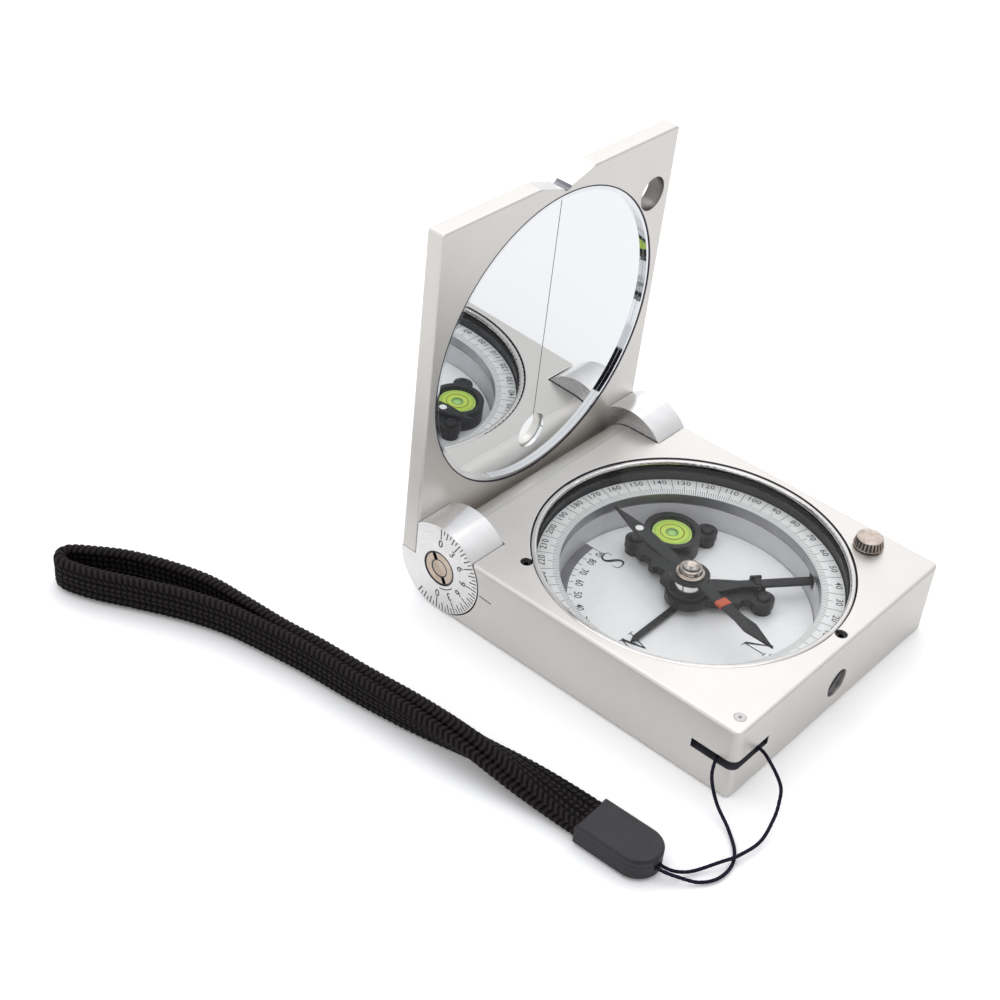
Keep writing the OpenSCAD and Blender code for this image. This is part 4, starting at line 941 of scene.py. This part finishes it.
def needle_clip():
    """the orange clip: a folded strip 2.1 mm wide round the needle's blade, with soft corners"""
    half_w, half_h, r, long, out = 1.5, 0.44, 0.16, 1.05, 11.1
    outline = []
    for cx, cy, start in ((1, 1, 0), (-1, 1, 90), (-1, -1, 180), (1, -1, 270)):
        for k in range(4):
            a = math.radians(start + 30 * k)
            outline.append((cx * (half_w - r) + r * math.cos(a), cy * (half_h - r) + r * math.sin(a)))
    turn = math.radians(NEEDLE_DEG)
    rings = []
    for x, inset in ((-long, 0.07), (-long + 0.07, 0), (long - 0.07, 0), (long, 0.07)):
        ring = []
        for u, v in outline:
            u, v = u * (1 - inset / half_w), v * (1 - inset / half_h)
            d = out + x
            ring.append(Vector((d * math.cos(turn) - u * math.sin(turn),
                                CENTRE_Y + d * math.sin(turn) + u * math.cos(turn), NEEDLE_Z + v)) * MM)
        rings.append(ring)
    verts, faces = tube_mesh(rings)
    obj = new_mesh("needle_clip", verts, faces, "needle", ORANGE, False)
    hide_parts("counterweight")


def needle_dot():
    """the white drop of paint on the needle's south arm"""
    a = math.radians(NEEDLE_DEG + 180)
    c = Vector((18.0 * math.cos(a), CENTRE_Y + 18.0 * math.sin(a), 12.05))
    rings = [(0.95, 0.0), (0.92, 0.05), (0.7, 0.1), (0.35, 0.13)]
    n = 28
    verts, faces = [], []
    for r, z in rings:
        verts += [(c + Vector((r * math.cos(2 * math.pi * k / n), r * math.sin(2 * math.pi * k / n), z))) * MM
                  for k in range(n)]
    for i in range(len(rings) - 1):
        a, b = i * n, (i + 1) * n
        faces += [(a + k, a + (k + 1) % n, b + (k + 1) % n, b + k) for k in range(n)]
    faces.append(tuple(3 * n + k for k in range(n)))
    new_mesh("needle_dot", verts, faces, "needle", WHITE_DOT, True)


def level_marks():
    """the circle printed on the level"""
    ring = Print(lambda x, y: Vector((VIAL[0] + x, VIAL[1] + y, 7.64)))
    ring.arc(2.75, 0, 360, 0.17, 6)
    ring.done("level_circle", "case", RING_INK)


def index_mark():
    """dark reading mark on the chamber's liner"""
    verts, faces = [], []
    n = 8
    for z in (12.6, 15.0):
        for k in range(n + 1):
            a = math.radians(73.6 + (k / n - 0.5) * 2.2)
            verts.append(Vector((33.93 * math.cos(a), CENTRE_Y + 33.93 * math.sin(a), z)) * MM)
    faces = [(k, k + 1, n + 2 + k, n + 1 + k) for k in range(n)]
    new_mesh("reading_mark", verts, faces, "case", MARK_PAINT, False)


print_dial()
print_plate()
print_disc()
print_lid()
print_case_top()
needle_cap_pieces()
needle_clip()
needle_dot()
level_marks()
index_mark()


def light_room():
    """white to the camera; to the object a little cooler, and darker low down on the front side"""
    scene = bpy.context.scene
    scene.view_settings.view_transform = "Standard"
    world = bpy.data.worlds.new("studio")
    scene.world = world
    world.use_nodes = True
    sky = world.node_tree
    sky.nodes.clear()
    seen = add(sky, "ShaderNodeBackground", values={"Color": (1, 1, 1, 1), "Strength": 1.0})
    spot = add(sky, "ShaderNodeTexCoord").outputs["Generated"]
    way = add(sky, "ShaderNodeVectorMath", {0: spot}, {1: (0, 1, 0.4)},
              operation="DOT_PRODUCT").outputs["Value"]
    level = add(sky, "ShaderNodeMapRange", {"Value": way},
                {"From Min": -1, "From Max": 0.1, "To Min": 0.4, "To Max": 0.98}).outputs[0]
    glow = add(sky, "ShaderNodeBackground", {"Strength": level}, {"Color": (0.975, 0.98, 1.0, 1)})
    path = add(sky, "ShaderNodeLightPath")
    mix = add(sky, "ShaderNodeMixShader",
              {0: path.outputs["Is Camera Ray"], 1: glow.outputs[0], 2: seen.outputs[0]})
    add(sky, "ShaderNodeOutputWorld", {"Surface": mix.outputs[0]})


def lamp(name, place, aim, size, power):
    """a soft box: metres and watts"""
    data = bpy.data.lights.new(name, "AREA")
    data.shape = "RECTANGLE"
    data.size, data.size_y = size
    data.energy = power
    obj = bpy.data.objects.new(name, data)
    bpy.context.scene.collection.objects.link(obj)
    obj.location = place
    obj.rotation_euler = (Vector(aim) - Vector(place)).to_track_quat("-Z", "Y").to_euler()


def backdrop(name, corners, material):
    mesh = bpy.data.meshes.new(name)
    mesh.from_pydata(corners, [], [(0, 1, 2, 3)])
    mesh.materials.append(material)
    obj = bpy.data.objects.new(name, mesh)
    bpy.context.scene.collection.objects.link(obj)
    return obj


def lay_floor():
    """pale floor that keeps the shadow; polished faces see it part of the way to the camera's white"""
    m, tree = empty_material("white_sweep")
    near = add(tree, "ShaderNodeBsdfDiffuse", values={"Color": (0.86, 0.86, 0.86, 1)})
    lit = add(tree, "ShaderNodeBsdfDiffuse", values={"Color": (1.2, 1.2, 1.2, 1)})
    look = add(tree, "ShaderNodeLightPath")
    white = add(tree, "ShaderNodeMath", {0: look.outputs["Is Glossy Ray"], 2: look.outputs["Is Camera Ray"]},
                {1: 0.12}, operation="MULTIPLY_ADD").outputs[0]
    both = add(tree, "ShaderNodeMixShader", {0: white, 1: near.outputs[0], 2: lit.outputs[0]})
    add(tree, "ShaderNodeOutputMaterial", {"Surface": both.outputs[0]})
    half, low = 3, -0.0002
    backdrop("floor", [(-half, -half, low), (half, -half, low), (half, half, low), (-half, half, low)], m)


def hang_card():
    """a black card on the camera's side, which only mirrors see, draws the dark lines in the chrome"""
    m, tree = empty_material("black_card")
    dark = add(tree, "ShaderNodeBsdfDiffuse", values={"Color": (0.01, 0.01, 0.015, 1)})
    add(tree, "ShaderNodeOutputMaterial", {"Surface": dark.outputs[0]})
    mid = Vector((-0.40, -0.31, 0.36))
    right, up = Vector((0.66, -0.74, 0.08)) * 0.22, Vector((0.41, 0.45, 0.79)) * 0.16
    card = backdrop("card", [mid - right - up, mid + right - up, mid + right + up, mid - right + up], m)
    card.visible_camera = False
    card.visible_diffuse = False
    card.visible_shadow = False
    card.visible_transmission = False


def studio():
    light_room()
    lamp("overhead", (0.1, 0.15, 0.75), (0, 0.02, 0.02), (0.7, 0.7), 1.25)
    lamp("right_back", (0.6, 0.45, 0.5), (0, 0.02, 0.03), (0.6, 0.6), 0.35)
    lamp("left_fill", (-0.75, -0.1, 0.35), (0, 0.02, 0.03), (0.5, 0.5), 0.12)
    lamp("front_fill", (0.0, -0.75, 0.3), (0, 0.03, 0.05), (0.5, 0.4), 0.05)
    lay_floor()
    hang_card()


studio()
